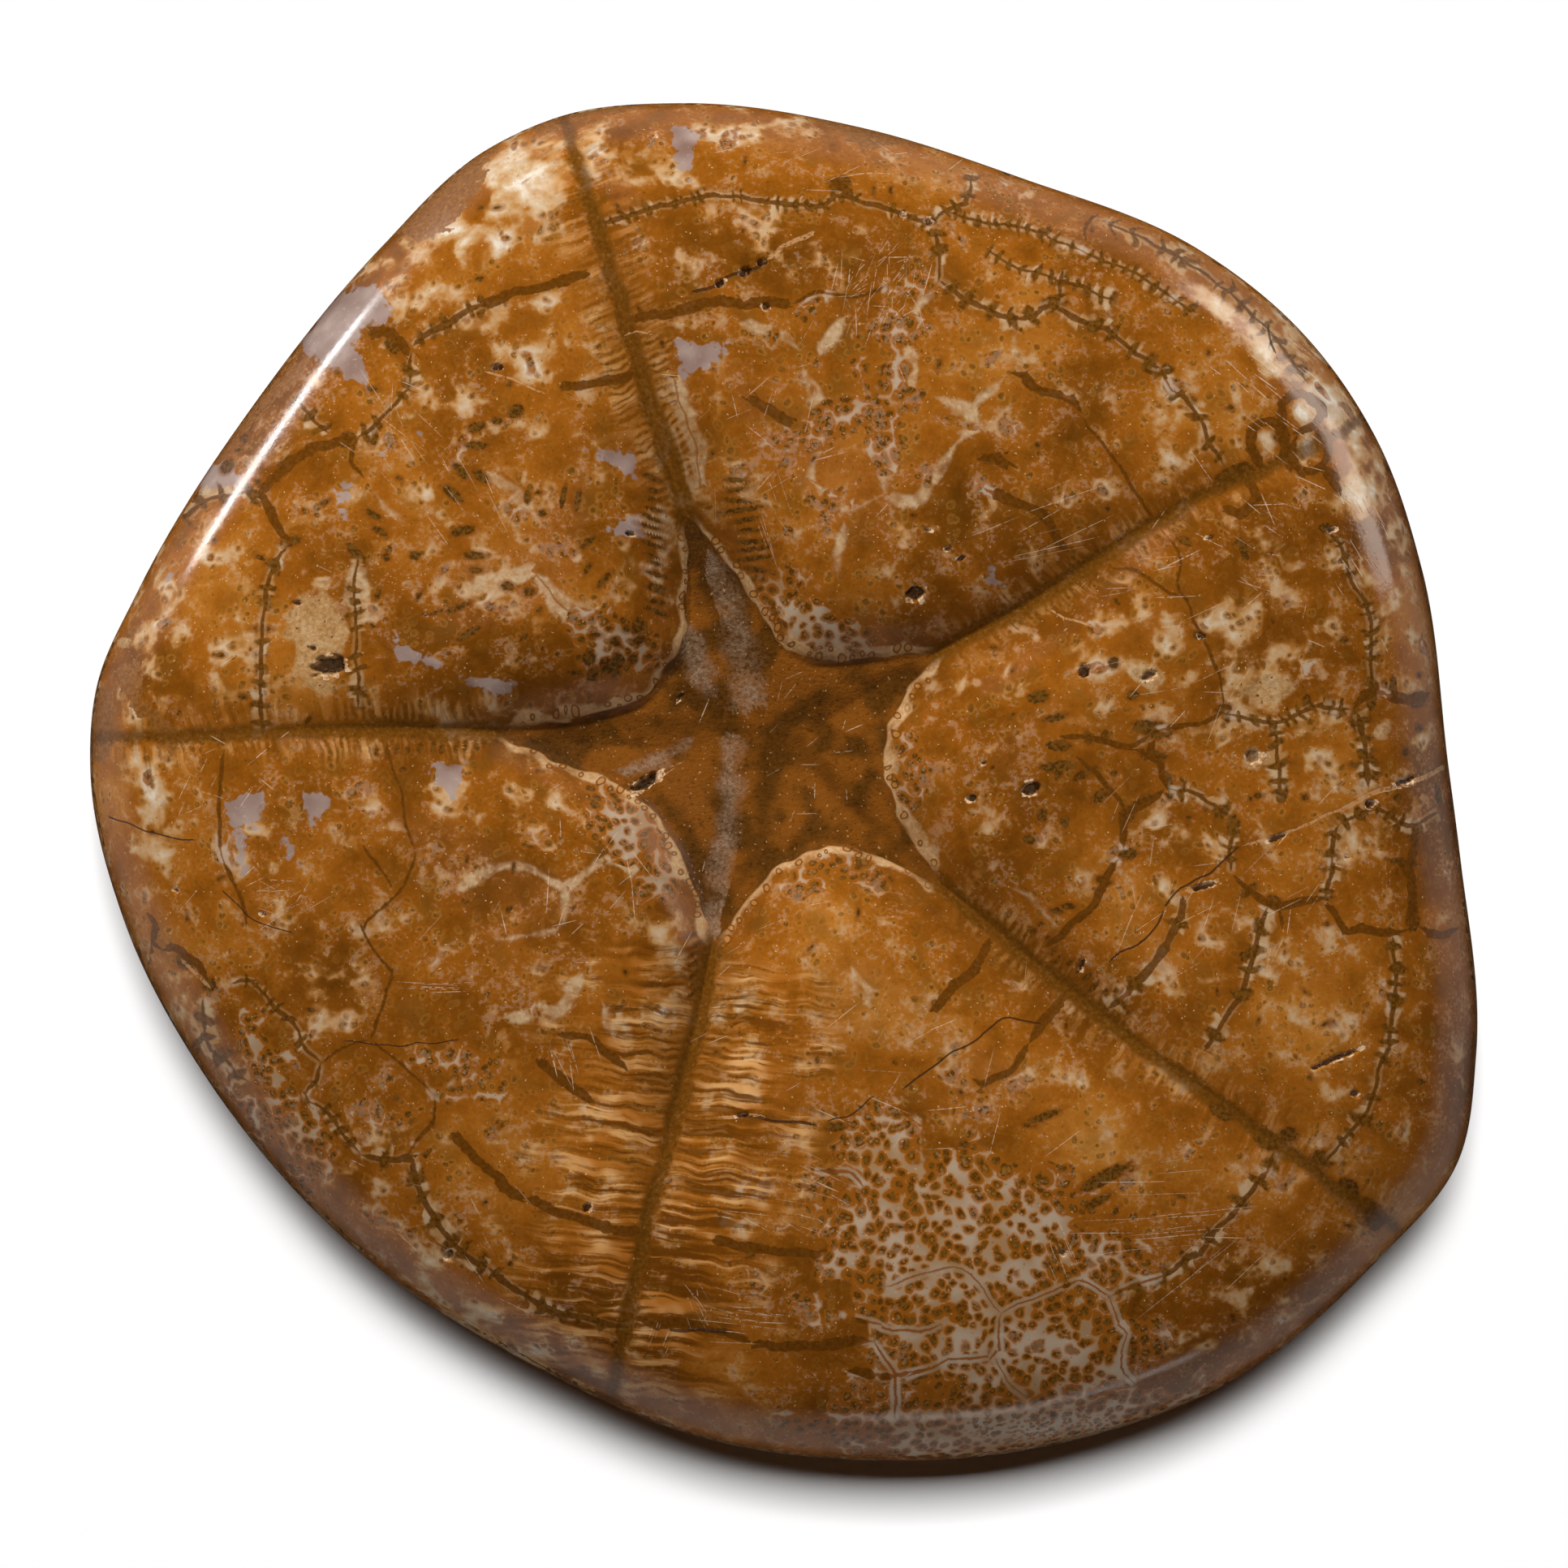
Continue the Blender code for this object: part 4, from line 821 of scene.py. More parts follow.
def unsteady(path: np.ndarray, amount: float) -> np.ndarray:
    """The same path with a slight natural wander."""
    wander = [noise.noise_vector(Vector((x * 0.9, y * 0.9, 3.7))).xy for x, y in path]
    return path + np.array(wander) * amount


@dataclass
class LineLayers:
    """Keeps, for every face, the nearest few of a set of lines.

    Args:
        centres: The middle of every face, on the drawing plane.
        places: The place of every face corner there.
        owners: The face of every corner.
        depth: How many lines a face can keep.
        reach: How far from a line it is still kept.
    """

    centres: np.ndarray
    places: np.ndarray
    owners: np.ndarray
    depth: int = 1
    reach: float = 1.5
    rows: list[np.ndarray] = field(default_factory=list)
    count: int = 0

    def __post_init__(self) -> None:
        self.near = np.full((self.depth, len(self.centres)), np.inf)
        self.row = np.full((self.depth, len(self.centres)), -1)

    def add(
        self, path: np.ndarray, half_widths: np.ndarray, style: float, offset: float, usable: np.ndarray
    ) -> None:
        """Adds one line, given as points with a half width at each."""
        low, high = path.min(axis=0) - self.reach, path.max(axis=0) + self.reach
        inside = usable & ((self.centres > low) & (self.centres < high)).all(axis=1)
        faces = np.nonzero(inside)[0]
        starts, along = path[:-1], np.diff(path, axis=0)
        lengths = np.maximum(np.linalg.norm(along, axis=1), 1e-6)
        run = offset + np.concatenate([[0], np.cumsum(lengths)[:-1]])
        grow = (half_widths[1:] - half_widths[:-1]) / lengths
        self.rows.append(
            np.column_stack([starts, along / lengths[:, None], run, half_widths[:-1], grow,
                             np.full(len(run), style)])
        )
        if len(faces):
            offsets = self.centres[faces][:, None] - starts[None]
            share = np.clip((offsets * along).sum(-1) / lengths**2, 0, 1)
            gaps = np.linalg.norm(offsets - share[..., None] * along, axis=-1)
            gaps = gaps - np.maximum(half_widths[:-1] + grow * lengths * share, 0)
            nearest = gaps.argmin(axis=1)
            gap = gaps[np.arange(len(faces)), nearest]
            self.insert(faces, gap, self.count + nearest)
        self.count += len(run)

    def insert(self, faces: np.ndarray, gap: np.ndarray, row: np.ndarray) -> None:
        """Puts a line into the faces where it is among the nearest."""
        for level in range(self.depth):
            better = (gap < self.near[level, faces]) & (gap < self.reach)
            old_gap, old_row = self.near[level, faces].copy(), self.row[level, faces].copy()
            self.near[level, faces] = np.where(better, gap, old_gap)
            self.row[level, faces] = np.where(better, row, old_row)
            gap, row = np.where(better, old_gap, gap), np.where(better, old_row, row)

    def values(self) -> list[np.ndarray]:
        """For each layer: distance along, distance across, half width and style at every corner."""
        table = np.concatenate(self.rows)
        layers = []
        for level in range(self.depth):
            row = self.row[level][self.owners]
            known = table[np.maximum(row, 0)]
            offset = self.places - known[:, 0:2]
            along = (offset * known[:, 2:4]).sum(axis=1)
            across = known[:, 2] * offset[:, 1] - known[:, 3] * offset[:, 0]
            width = known[:, 5] + known[:, 6] * along
            value = np.column_stack([known[:, 4] + along, across, width, known[:, 7]])
            value[row < 0] = (0.0, 9.0, -1.0, 0.0)
            layers.append(value)
        return layers


@dataclass
class PlateLayer:
    """Keeps, for every face, the nearest of a set of small ovals."""

    centres: np.ndarray
    places: np.ndarray
    owners: np.ndarray
    reach: float = 0.5

    def __post_init__(self) -> None:
        self.near = np.full(len(self.centres), np.inf)
        self.row = np.full(len(self.centres), -1)
        self.rows: list[tuple[float, ...]] = []

    def add(self, x: float, y: float, length: float, width: float, turn: float, usable: np.ndarray) -> None:
        """Adds one oval by its middle, half length, half width and direction in degrees."""
        size = max(length, width) + self.reach
        inside = usable & (np.abs(self.centres - (x, y)) < size).all(axis=1)
        faces = np.nonzero(inside)[0]
        cos, sin = math.cos(math.radians(turn)), math.sin(math.radians(turn))
        if len(faces):
            offset = self.centres[faces] - (x, y)
            along = (offset @ (cos, sin)) / length
            across = (offset @ (-sin, cos)) / width
            gap = (np.hypot(along, across) - 1) * min(length, width)
            better = (gap < self.near[faces]) & (gap < self.reach)
            self.near[faces[better]] = gap[better]
            self.row[faces[better]] = len(self.rows)
        self.rows.append((x, y, length, width, cos, sin))

    def values(self) -> np.ndarray:
        """The place inside the nearest oval at every corner, its half width, and a number of its own."""
        table = np.array(self.rows)
        row = self.row[self.owners]
        known = table[np.maximum(row, 0)]
        offset = self.places - known[:, 0:2]
        along = (offset[:, 0] * known[:, 4] + offset[:, 1] * known[:, 5]) / known[:, 2]
        across = (offset[:, 1] * known[:, 4] - offset[:, 0] * known[:, 5]) / known[:, 3]
        value = np.column_stack([along, across, known[:, 3], row * 1.37])
        value[row < 0] = (9.0, 9.0, 0.1, 0.0)
        return value


def signed_gap(places: np.ndarray, outline: np.ndarray) -> np.ndarray:
    """How far each place is inside a closed outline, or outside it as a negative number."""
    result = np.empty(len(places))
    starts, ends = outline, np.roll(outline, -1, axis=0)
    along = ends - starts
    for first in range(0, len(places), 20000):
        some = places[first : first + 20000]
        offset = some[:, None] - starts[None]
        share = np.clip((offset * along).sum(-1) / np.maximum((along**2).sum(-1), 1e-9), 0, 1)
        gap = np.linalg.norm(offset - share[..., None] * along, axis=-1).min(axis=1)
        crosses = (starts[None, :, 1] > some[:, None, 1]) != (ends[None, :, 1] > some[:, None, 1])
        rise = np.where(np.abs(along[:, 1]) < 1e-9, 1e-9, along[:, 1])
        where = starts[:, 0] + (some[:, None, 1] - starts[:, 1]) / rise * along[:, 0]
        inside = (crosses & (some[:, None, 0] < where)).sum(axis=1) % 2 == 1
        result[first : first + 20000] = np.where(inside, gap, -gap)
    return result


def soft_areas(places: np.ndarray, areas: Iterable[Sequence[float]]) -> np.ndarray:
    """How strongly soft oval areas cover each place."""
    cover = np.zeros(len(places))
    for x, y, across, along, strength in areas:
        gap = ((places[:, 0] - x) / across) ** 2 + ((places[:, 1] - y) / along) ** 2
        cover = np.maximum(cover, strength * np.exp(-(gap**1.5) * 0.7))
    return cover


@dataclass
class Stone:
    """The stone's mesh, with every line kept on it.

    Args:
        shape: The form it follows.
        view: The camera, which gives the drawing plane of the mouth face.
    """

    shape: StoneShape
    view: StudioView
    seed: int = 7

    def build(self) -> bpy.types.Object:
        """Makes the mesh, its pits and its lines."""
        self.random = np.random.default_rng(self.seed)
        mesh = self.make_surface()
        self.refine_at_pits(mesh)
        self.sink_pits(mesh)
        self.make_uv(mesh)
        self.keep_lines(mesh)
        mesh.shade_smooth()
        stone = bpy.data.objects.new("polished_stone", mesh)
        bpy.context.scene.collection.objects.link(stone)
        return stone

    def make_surface(self) -> bpy.types.Mesh:
        """The closed surface, with where each point lies on two flat maps of its two sides."""
        rings = self.shape.rings()
        everything = rings.reshape(-1, 3)
        middle = (everything.min(axis=0) + everything.max(axis=0)) / 2
        shift = np.array([middle[0], middle[1], 0.0])
        self.shift = shift[:2] / MM
        hub = np.array([[*MOUTH_CENTRE]])
        top = np.array([*MOUTH_CENTRE, self.shape.hollow_height(hub, np.zeros(1))[0]])
        foot = np.array([*FOOT_CENTRE, 0.0])
        count, spokes = rings.shape[:2]
        self.rim_ring = HOLLOW_RINGS - 1 + FACE_RINGS

        steps = np.linalg.norm(np.diff(rings, axis=0), axis=2)
        from_top = np.concatenate([np.linalg.norm(rings[0] - top, axis=1)[None], steps]).cumsum(axis=0)
        from_foot = np.concatenate([steps, np.linalg.norm(rings[-1] - foot, axis=1)[None]])
        from_foot = from_foot[::-1].cumsum(axis=0)[::-1]
        top_turn = np.arctan2(rings[..., 1] - top[1], rings[..., 0] - top[0])
        foot_turn = np.arctan2(rings[..., 1] - foot[1], rings[..., 0] - foot[0])
        top_map = np.stack([from_top * np.cos(top_turn), from_top * np.sin(top_turn)], axis=-1)
        foot_map = np.stack([from_foot * np.cos(foot_turn), from_foot * np.sin(foot_turn)], axis=-1)
        self.top_reach = float(from_top[self.rim_ring].max())
        self.foot_reach = float(from_foot[self.rim_ring].max())
        self.rim_from_foot = float(from_foot[self.rim_ring].mean()) / MM

        points = np.concatenate([everything, top[None], foot[None]]) - shift
        points *= np.array(cad_box[1]) / points.max(axis=0)
        number = np.arange(count * spokes).reshape(count, spokes)
        following = np.roll(number, -1, axis=1)
        quads = np.stack([number[:-1], number[1:], following[1:], following[:-1]], axis=-1).reshape(-1, 4)
        hubs = [(count * spokes, a, b) for a, b in zip(number[0], following[0])]
        soles = [(count * spokes + 1, b, a) for a, b in zip(number[-1], following[-1])]
        mesh = bpy.data.meshes.new("polished_stone")
        mesh.from_pydata(points.tolist(), [], quads.tolist() + hubs + soles)

        seen = self.view.seen(points)
        shown = seen.copy()
        rim = number[self.rim_ring]
        for ring in range(self.rim_ring + 1, count):
            shown[number[ring]] = seen[rim]
        below = np.maximum(0, (from_foot[self.rim_ring][None] - from_foot) / MM)
        below = np.concatenate([below.reshape(-1), [0.0, 99.0]])
        fade = np.exp(-((below / 5.0) ** 2))
        kinds = [CREAM_AND_SHOULDER_SHEEN_AREAS, SPOTTED_AREAS, DARK_AREAS, CHALKY_AREAS]
        areas = np.column_stack([soft_areas(shown, kind) * fade for kind in kinds])
        ring_number = np.concatenate([np.repeat(np.arange(count), spokes), [0, count]])
        flat = np.concatenate([top_map.reshape(-1, 2), [[0, 0], [0, 0]]])
        under = np.concatenate([foot_map.reshape(-1, 2), [[0, 0], [0, 0]]])
        self.put(mesh, "areas", areas)
        self.put(mesh, "drift", self.drift_at(points))
        self.put(mesh, "maps", np.column_stack([flat, under]))
        self.put(mesh, "depths", np.column_stack([below, ring_number, 0 * below, 0 * below]))
        return mesh

    @staticmethod
    def put(mesh: bpy.types.Mesh, name: str, values: np.ndarray, domain: str = "POINT") -> None:
        """Writes four numbers for every point or corner."""
        layer = mesh.attributes.get(name) or mesh.attributes.new(name, "FLOAT_COLOR", domain)
        layer.data.foreach_set("color", values.astype(np.float32).ravel())

    @staticmethod
    def get(mesh: bpy.types.Mesh, name: str) -> np.ndarray:
        """Reads such numbers back."""
        layer = mesh.attributes[name].data
        values = np.empty(len(layer) * 4, np.float32)
        layer.foreach_get("color", values)
        return values.reshape(-1, 4).astype(float)

    @staticmethod
    def points_of(mesh: bpy.types.Mesh) -> np.ndarray:
        """The place of every point."""
        values = np.empty(len(mesh.vertices) * 3, np.float32)
        mesh.vertices.foreach_get("co", values)
        return values.reshape(-1, 3).astype(float)

    @staticmethod
    def drift_at(points: np.ndarray) -> np.ndarray:
        """Three slow noises and a broad one for every point, each from about -0.3 to 0.3."""
        values = np.empty((len(points), 4))
        for i, point in enumerate(points / MM):
            place = Vector(point)
            values[i, :3] = noise.noise_vector(place * 0.62) + noise.noise_vector(place * 1.27) * 0.4
            values[i, 3] = noise.noise(place * 0.11) + noise.noise(place * 0.24) * 0.5
        return values * 0.42

    def refine_at_pits(self, mesh: bpy.types.Mesh) -> None:
        """Gives the mesh finer faces where there are pits."""
        shape = bmesh.new()
        shape.from_mesh(mesh)
        shape.faces.ensure_lookup_table()
        centres = np.array([face.calc_center_median() for face in shape.faces])
        facing = np.array([face.normal.z > 0.2 for face in shape.faces])
        seen = self.view.seen(centres)
        near = np.zeros(len(centres), bool)
        for x, y, length, width, _, _ in PITS:
            near |= np.hypot(seen[:, 0] - x, seen[:, 1] - y) < max(length, width) + 0.45
        chosen = [shape.faces[i] for i in np.nonzero(near & facing)[0]]
        edges = list({edge for face in chosen for edge in face.edges})
        bmesh.ops.subdivide_edges(shape, edges=edges, cuts=3, use_grid_fill=True)
        shape.to_mesh(mesh)
        shape.free()

    def sink_pits(self, mesh: bpy.types.Mesh) -> None:
        """Lowers the points inside each pit, with ragged walls and floor."""
        points = self.points_of(mesh)
        normals = np.empty(len(points) * 3, np.float32)
        mesh.vertices.foreach_get("normal", normals)
        normals = normals.reshape(-1, 3)
        seen = self.view.seen(points)
        depths = self.get(mesh, "depths")
        sink = np.zeros(len(points))
        for number, (x, y, length, width, turn, depth) in enumerate(PITS):
            cos, sin = math.cos(math.radians(turn)), math.sin(math.radians(turn))
            offset = seen - (x, y)
            close = np.nonzero((np.hypot(*offset.T) < max(length, width) + 1.2) & (normals[:, 2] > 0.2))[0]
            for i in close:
                dx, dy = offset[i]
                along, across = (dx * cos + dy * sin) / length, (dy * cos - dx * sin) / width
                rough = noise.noise(Vector((dx * 2.3, dy * 2.3, number * 2.7)))
                fine = noise.noise(Vector((dx * 7.3, dy * 7.3, number * 1.9)))
                reach = math.hypot(along, across) * (1 + 0.4 * rough)
                inside = min(max((1.12 - reach) / 0.35, 0), 1)
                inside = inside * inside * (3 - 2 * inside)
                crumb = min(max((1.35 + 1.5 * rough - reach) / 0.5, 0), 1)
                sink[i] = max(sink[i], inside * depth * (0.75 + 0.5 * fine) + 0.05 * crumb * abs(fine))
                depths[i, 2] = max(depths[i, 2], inside)
                depths[i, 3] = max(depths[i, 3], crumb)
        points -= normals * (sink * MM)[:, None]
        mesh.vertices.foreach_set("co", points.astype(np.float32).ravel())
        self.put(mesh, "depths", depths)

    def make_uv(self, mesh: bpy.types.Mesh) -> None:
        """Lays the mouth side and the dome side out as two round pieces."""
        starts, owners, corners = self.loops(mesh)
        rings = self.get(mesh, "depths")[:, 1]
        maps = self.get(mesh, "maps")
        mean_ring = np.add.reduceat(rings[corners], starts) / np.diff([*starts, len(corners)])
        on_top = (mean_ring < self.rim_ring)[owners]
        top_size, under_size = 0.355, 0.22
        top = top_size + 0.004 + maps[corners, 0:2] / self.top_reach * top_size
        under = 1 - under_size - 0.004 + maps[corners, 2:4] / self.foot_reach * under_size
        under[:, 0] = 2 * (1 - under_size - 0.004) - under[:, 0]
        layer = mesh.uv_layers.new(name="OFBake")
        places = np.where(on_top[:, None], top, under)
        layer.data.foreach_set("uv", places.astype(np.float32).ravel())

    @staticmethod
    def loops(mesh: bpy.types.Mesh) -> tuple[np.ndarray, np.ndarray, np.ndarray]:
        """The first corner of every face, the face of every corner, and the point of every corner."""
        starts = np.empty(len(mesh.polygons), np.int32)
        mesh.polygons.foreach_get("loop_start", starts)
        corners = np.empty(len(mesh.loops), np.int32)
        mesh.loops.foreach_get("vertex_index", corners)
        counts = np.diff([*starts, len(corners)])
        return starts, np.repeat(np.arange(len(starts)), counts), corners

    def keep_lines(self, mesh: bpy.types.Mesh) -> None:
        """Writes every line, oval and outline onto the face corners."""
        points = self.points_of(mesh)
        starts, owners, corners = self.loops(mesh)
        counts = np.diff([*starts, len(corners)])[:, None]
        maps = self.get(mesh, "maps")
        normals = np.empty(len(mesh.polygons) * 3, np.float32)
        mesh.polygons.foreach_get("normal", normals)
        rings = self.get(mesh, "depths")[:, 1]
        mean_ring = np.add.reduceat(rings[corners], starts) / counts[:, 0]
        flat_enough = normals.reshape(-1, 3)[:, 2] > 0.34
        above = mean_ring < self.rim_ring
        on_face = above & flat_enough
        seen = self.view.seen(points)
        under = maps[:, 2:4] / MM
        plan = points[:, :2] / MM + self.shift
        places = np.where(on_face[owners][:, None], seen[corners], under[corners])
        centres = np.add.reduceat(places, starts) / counts
        plan_places = plan[corners]
        plan_centres = np.add.reduceat(plan_places, starts) / counts

        self.keep_seams(mesh, centres, places, owners, on_face)
        self.keep_plates(mesh, centres, places, owners, on_face)
        self.keep_outlines(mesh, seen, plan, rings < self.rim_ring)
        self.keep_fine_lines(mesh, centres, places, owners, on_face)
        self.keep_valleys(mesh, plan_centres, plan_places, owners, above)

    def lay(self, layers: LineLayers, strokes: Iterable[Stroke], usable: np.ndarray, wander: float) -> None:
        """Adds smooth tapering strokes to a set of layers."""
        for stroke in strokes:
            path = unsteady(smooth_path(stroke.points, 0.45), wander)
            taper = np.ones(len(path))
            taper[[0, -1]] = 0.0
            if len(path) > 4:
                taper[[1, -2]] = 0.8
            wobble = np.array([noise.noise(Vector((x * 1.3, y * 1.3, 9.1))) for x, y in path])
            widths = stroke.half_width * taper * (1 + 0.45 * wobble)
            offset = (len(layers.rows) * 37.7) % 900
            coarse = 0.7 * ((len(layers.rows) * 0.618) % 1) * (stroke.style == 1.0) - (stroke.style == -1.0)
            layers.add(path, widths, stroke.style + coarse, offset, usable)

    def keep_seams(
        self, mesh: bpy.types.Mesh, centres: np.ndarray, places: np.ndarray, owners: np.ndarray,
        on_face: np.ndarray,
    ) -> None:
        """Keeps the dark seams; and the pale veins, with the grey dust streaks and the painted crease shade lines of
        the hollow floor.
        """
        seams = LineLayers(centres, places, owners, depth=2, reach=1.5)
        self.lay(seams, DARK_SEAMS, on_face, 0.12)
        self.lay(seams, self.dome_seams(), ~on_face, 0.3)
        for name, values in zip(("seam_a", "seam_b"), seams.values()):
            self.put(mesh, name, values, "CORNER")
        veins = LineLayers(centres, places, owners, reach=1.0)
        self.lay(veins, PALE_VEINS_DUST_AND_CREASE_SHADE, on_face, 0.15)
        self.put(mesh, "vein", veins.values()[0], "CORNER")

    def dome_seams(self) -> list[Stroke]:
        """The seams between the plates of the dome: five petals, and rows of plates between them."""
        foot = np.array(FOOT_CENTRE) / MM
        ends = [self.shape.plan_point(n, np.array(0.0), np.array(1.0)) / MM - foot for n in range(5)]
        turns = [math.atan2(end[1], end[0]) for end in ends]
        rim = self.rim_from_foot
        reach = np.linspace(4.0, rim + 4.0, 40)
        strokes = []

        def at(distance: float, turn: float, across: float) -> Point:
            return (
                distance * math.cos(turn) - across * math.sin(turn),
                distance * math.sin(turn) + across * math.cos(turn),
            )

        for number, turn in enumerate(turns):
            share = np.clip((rim - reach) / (rim - 4.0), 0, 1)
            half = 0.5 + 4.9 * np.sin(math.pi * share**0.8) ** 0.7
            for side in (-1, 1):
                edge = [at(d, turn, side * w) for d, w in zip(reach, half)]
                inner = [at(d, turn, side * w * 0.74) for d, w in zip(reach[4:-8], half[4:-8])]
                strokes.append(Stroke(edge, 0.14, 1.0))
                strokes.append(Stroke(inner, 0.1, 1.0))
            zigzag = [at(d, turn, 0.3 * (-1) ** i) for i, d in enumerate(np.arange(5.0, rim + 4, 1.4))]
            strokes.append(Stroke(zigzag, 0.07, 0.0))

            following = turns[(number + 1) % 5]
            gap = (following - turn) % TURN
            between = turn + gap / 2
            rows = np.arange(9.0, rim + 6.0, 3.6)
            corners = [at(d, between, 0.9 * (-1) ** i) for i, d in enumerate(rows)]
            strokes.append(Stroke(corners, 0.13, 1.0))
            for i, distance in enumerate(rows):
                w = float(np.interp(distance, reach, half))
                for side, edge_turn in ((-1, turn), (1, following)):
                    start = corners[i]
                    bend = at(distance + 1.1, between + side * gap * 0.22, 0.0)
                    end = at(distance + 0.6, edge_turn, -side * w)
                    style = 1.0 if (i + number) % 3 else -1.0
                    strokes.append(Stroke([start, bend, end], 0.1, style))
        return strokes

    def keep_plates(
        self, mesh: bpy.types.Mesh, centres: np.ndarray, places: np.ndarray, owners: np.ndarray,
        on_face: np.ndarray,
    ) -> None:
        """Keeps the dark ovals: the listed ones, and small ones strewn over both sides."""
        plates = PlateLayer(centres, places, owners)
        for oval in DARK_PLATES:
            plates.add(*oval, on_face)
        for x_1, y_1, x_2, y_2, number, length, turn in BAR_ROWS:
            for share in np.linspace(0, 1, number):
                x, y = x_1 + (x_2 - x_1) * share, y_1 + (y_2 - y_1) * share
                x, y = self.random.normal((x, y), 0.12)
                long = length * self.random.uniform(0.6, 1.2)
                plates.add(x, y, long, 0.17, turn + self.random.normal(0, 6), on_face)
        for _ in range(160):
            x, y = self.random.uniform(-40, 40, 2)
            length, width = self.random.uniform(0.14, 0.36), self.random.uniform(0.1, 0.18)
            plates.add(x, y, length, width, self.random.uniform(0, 180), on_face)
        for _ in range(500):
            x, y = self.random.uniform(-50, 50, 2)
            length, width = self.random.uniform(0.2, 0.8), self.random.uniform(0.16, 0.34)
            plates.add(x, y, length, width, self.random.uniform(0, 180), ~on_face)
        self.put(mesh, "plate", plates.values(), "CORNER")

    def keep_outlines(self, mesh: bpy.types.Mesh, seen: np.ndarray, plan: np.ndarray, top: np.ndarray) -> None:
        """Keeps how far each point is inside the hollow, the clear calcite and the brown sediment."""
        values = np.tile(np.array([-9.0, 0.0, -9.0, 0.0]), (len(seen), 1))
        kinds = [(outline, 1.0) for outline in CALCITE] + [(outline, -1.0) for outline in SEDIMENT]
        for outline, kind in kinds:
            corners = np.array(outline, float)
            sides = [np.linspace(a, b, max(2, int(math.dist(a, b) / 0.7)))[:-1]
                     for a, b in zip(corners, np.roll(corners, -1, axis=0))]
            path = unsteady(np.concatenate(sides), 0.14)
            low, high = path.min(axis=0) - 1.5, path.max(axis=0) + 1.5
            near = np.nonzero(top & ((seen > low) & (seen < high)).all(axis=1))[0]
            gap = signed_gap(seen[near], path)
            better = gap > values[near, 0]
            values[near[better], 0] = gap[better]
            values[near[better], 1] = kind
        lip = np.concatenate([self.shape.lip_line(lobe)[:-1] for lobe in range(5)]) / MM
        near = np.nonzero(top & (np.linalg.norm(plan, axis=1) < 24))[0]
        values[near, 2] = signed_gap(plan[near], lip)
        along = np.concatenate([[0.0], np.cumsum(np.linalg.norm(np.diff(lip, axis=0), axis=1))])
        nearest = np.linalg.norm(plan[near][:, None] - lip[None], axis=-1).argmin(axis=1)
        before, after = lip[nearest - 1], lip[(nearest + 1) % len(lip)]
        ahead = (after - before) / np.maximum(np.linalg.norm(after - before, axis=1), 1e-6)[:, None]
        values[near, 3] = along[nearest] + ((plan[near] - lip[nearest]) * ahead).sum(axis=1)
        self.put(mesh, "outlines", values)

    def keep_fine_lines(
        self, mesh: bpy.types.Mesh, centres: np.ndarray, places: np.ndarray, owners: np.ndarray,
        on_face: np.ndarray,
    ) -> None:
        """Keeps the hairline cracks and the scratches in the polish."""
        fine = LineLayers(centres, places, owners, depth=2, reach=0.45)
        for strokes, style in ((DARK_CRACKS, -1.0), (PALE_CRACKS, 1.0)):
            for stroke in strokes:
                path = unsteady(smooth_path(stroke.points, 0.3), 0.16)
                widths = np.full(len(path), stroke.half_width)
                widths[[0, -1]] = 0.0
                fine.add(path, widths, style, 0.0, on_face)
        for x, y, across, along, mean, spread, length, number in SCRATCH_GROUPS:
            for _ in range(number):
                middle = np.array([self.random.normal(x, across * 0.5), self.random.normal(y, along * 0.5)])
                turn = math.radians(self.random.normal(mean, spread * 0.5))
                half = length * self.random.uniform(0.25, 0.8) * np.array([math.cos(turn), math.sin(turn)])
                path = np.linspace(middle - half, middle + half, 4)
                width = self.random.uniform(0.008, 0.024)
                widths = np.array([0.0, width, width * 0.8, 0.0])
                fine.add(path, widths, self.random.uniform(0.2, 0.8), 0.0, on_face)
        for _ in range(160):
            middle = self.random.uniform(-50, 50, 2)
            turn = self.random.uniform(0, TURN)
            half = self.random.uniform(0.4, 2.4) * np.array([math.cos(turn), math.sin(turn)])
            path = np.linspace(middle - half, middle + half, 4)
            fine.add(path, np.array([0.0, 0.025, 0.02, 0.0]), 0.5, 0.0, ~on_face)
        for name, values in zip(("fine_a", "fine_b"), fine.values()):
            self.put(mesh, name, values, "CORNER")

    def keep_valleys(
        self, mesh: bpy.types.Mesh, centres: np.ndarray, places: np.ndarray, owners: np.ndarray,
        above: np.ndarray,
    ) -> None:
        """Keeps how far each place is from the grooves."""
        grooves = LineLayers(centres, places, owners, reach=12.0)
        for number, streak in enumerate(GROOVE_STREAKS):
            path = self.shape.groove_line(number, 60) / MM
            grooves.add(path, np.linspace(0, 1, len(path)), streak, number * 100.0, above)
        self.put(mesh, "groove", grooves.values()[0], "CORNER")


# How far, in millimetres, the streaks of the shell reach out from each groove
GROOVE_STREAKS = [2.0, 3.6, 3.0, 10.0, 2.3]


# ---------------------------------------------------------------------------------------------------
# Shader maths
# ---------------------------------------------------------------------------------------------------


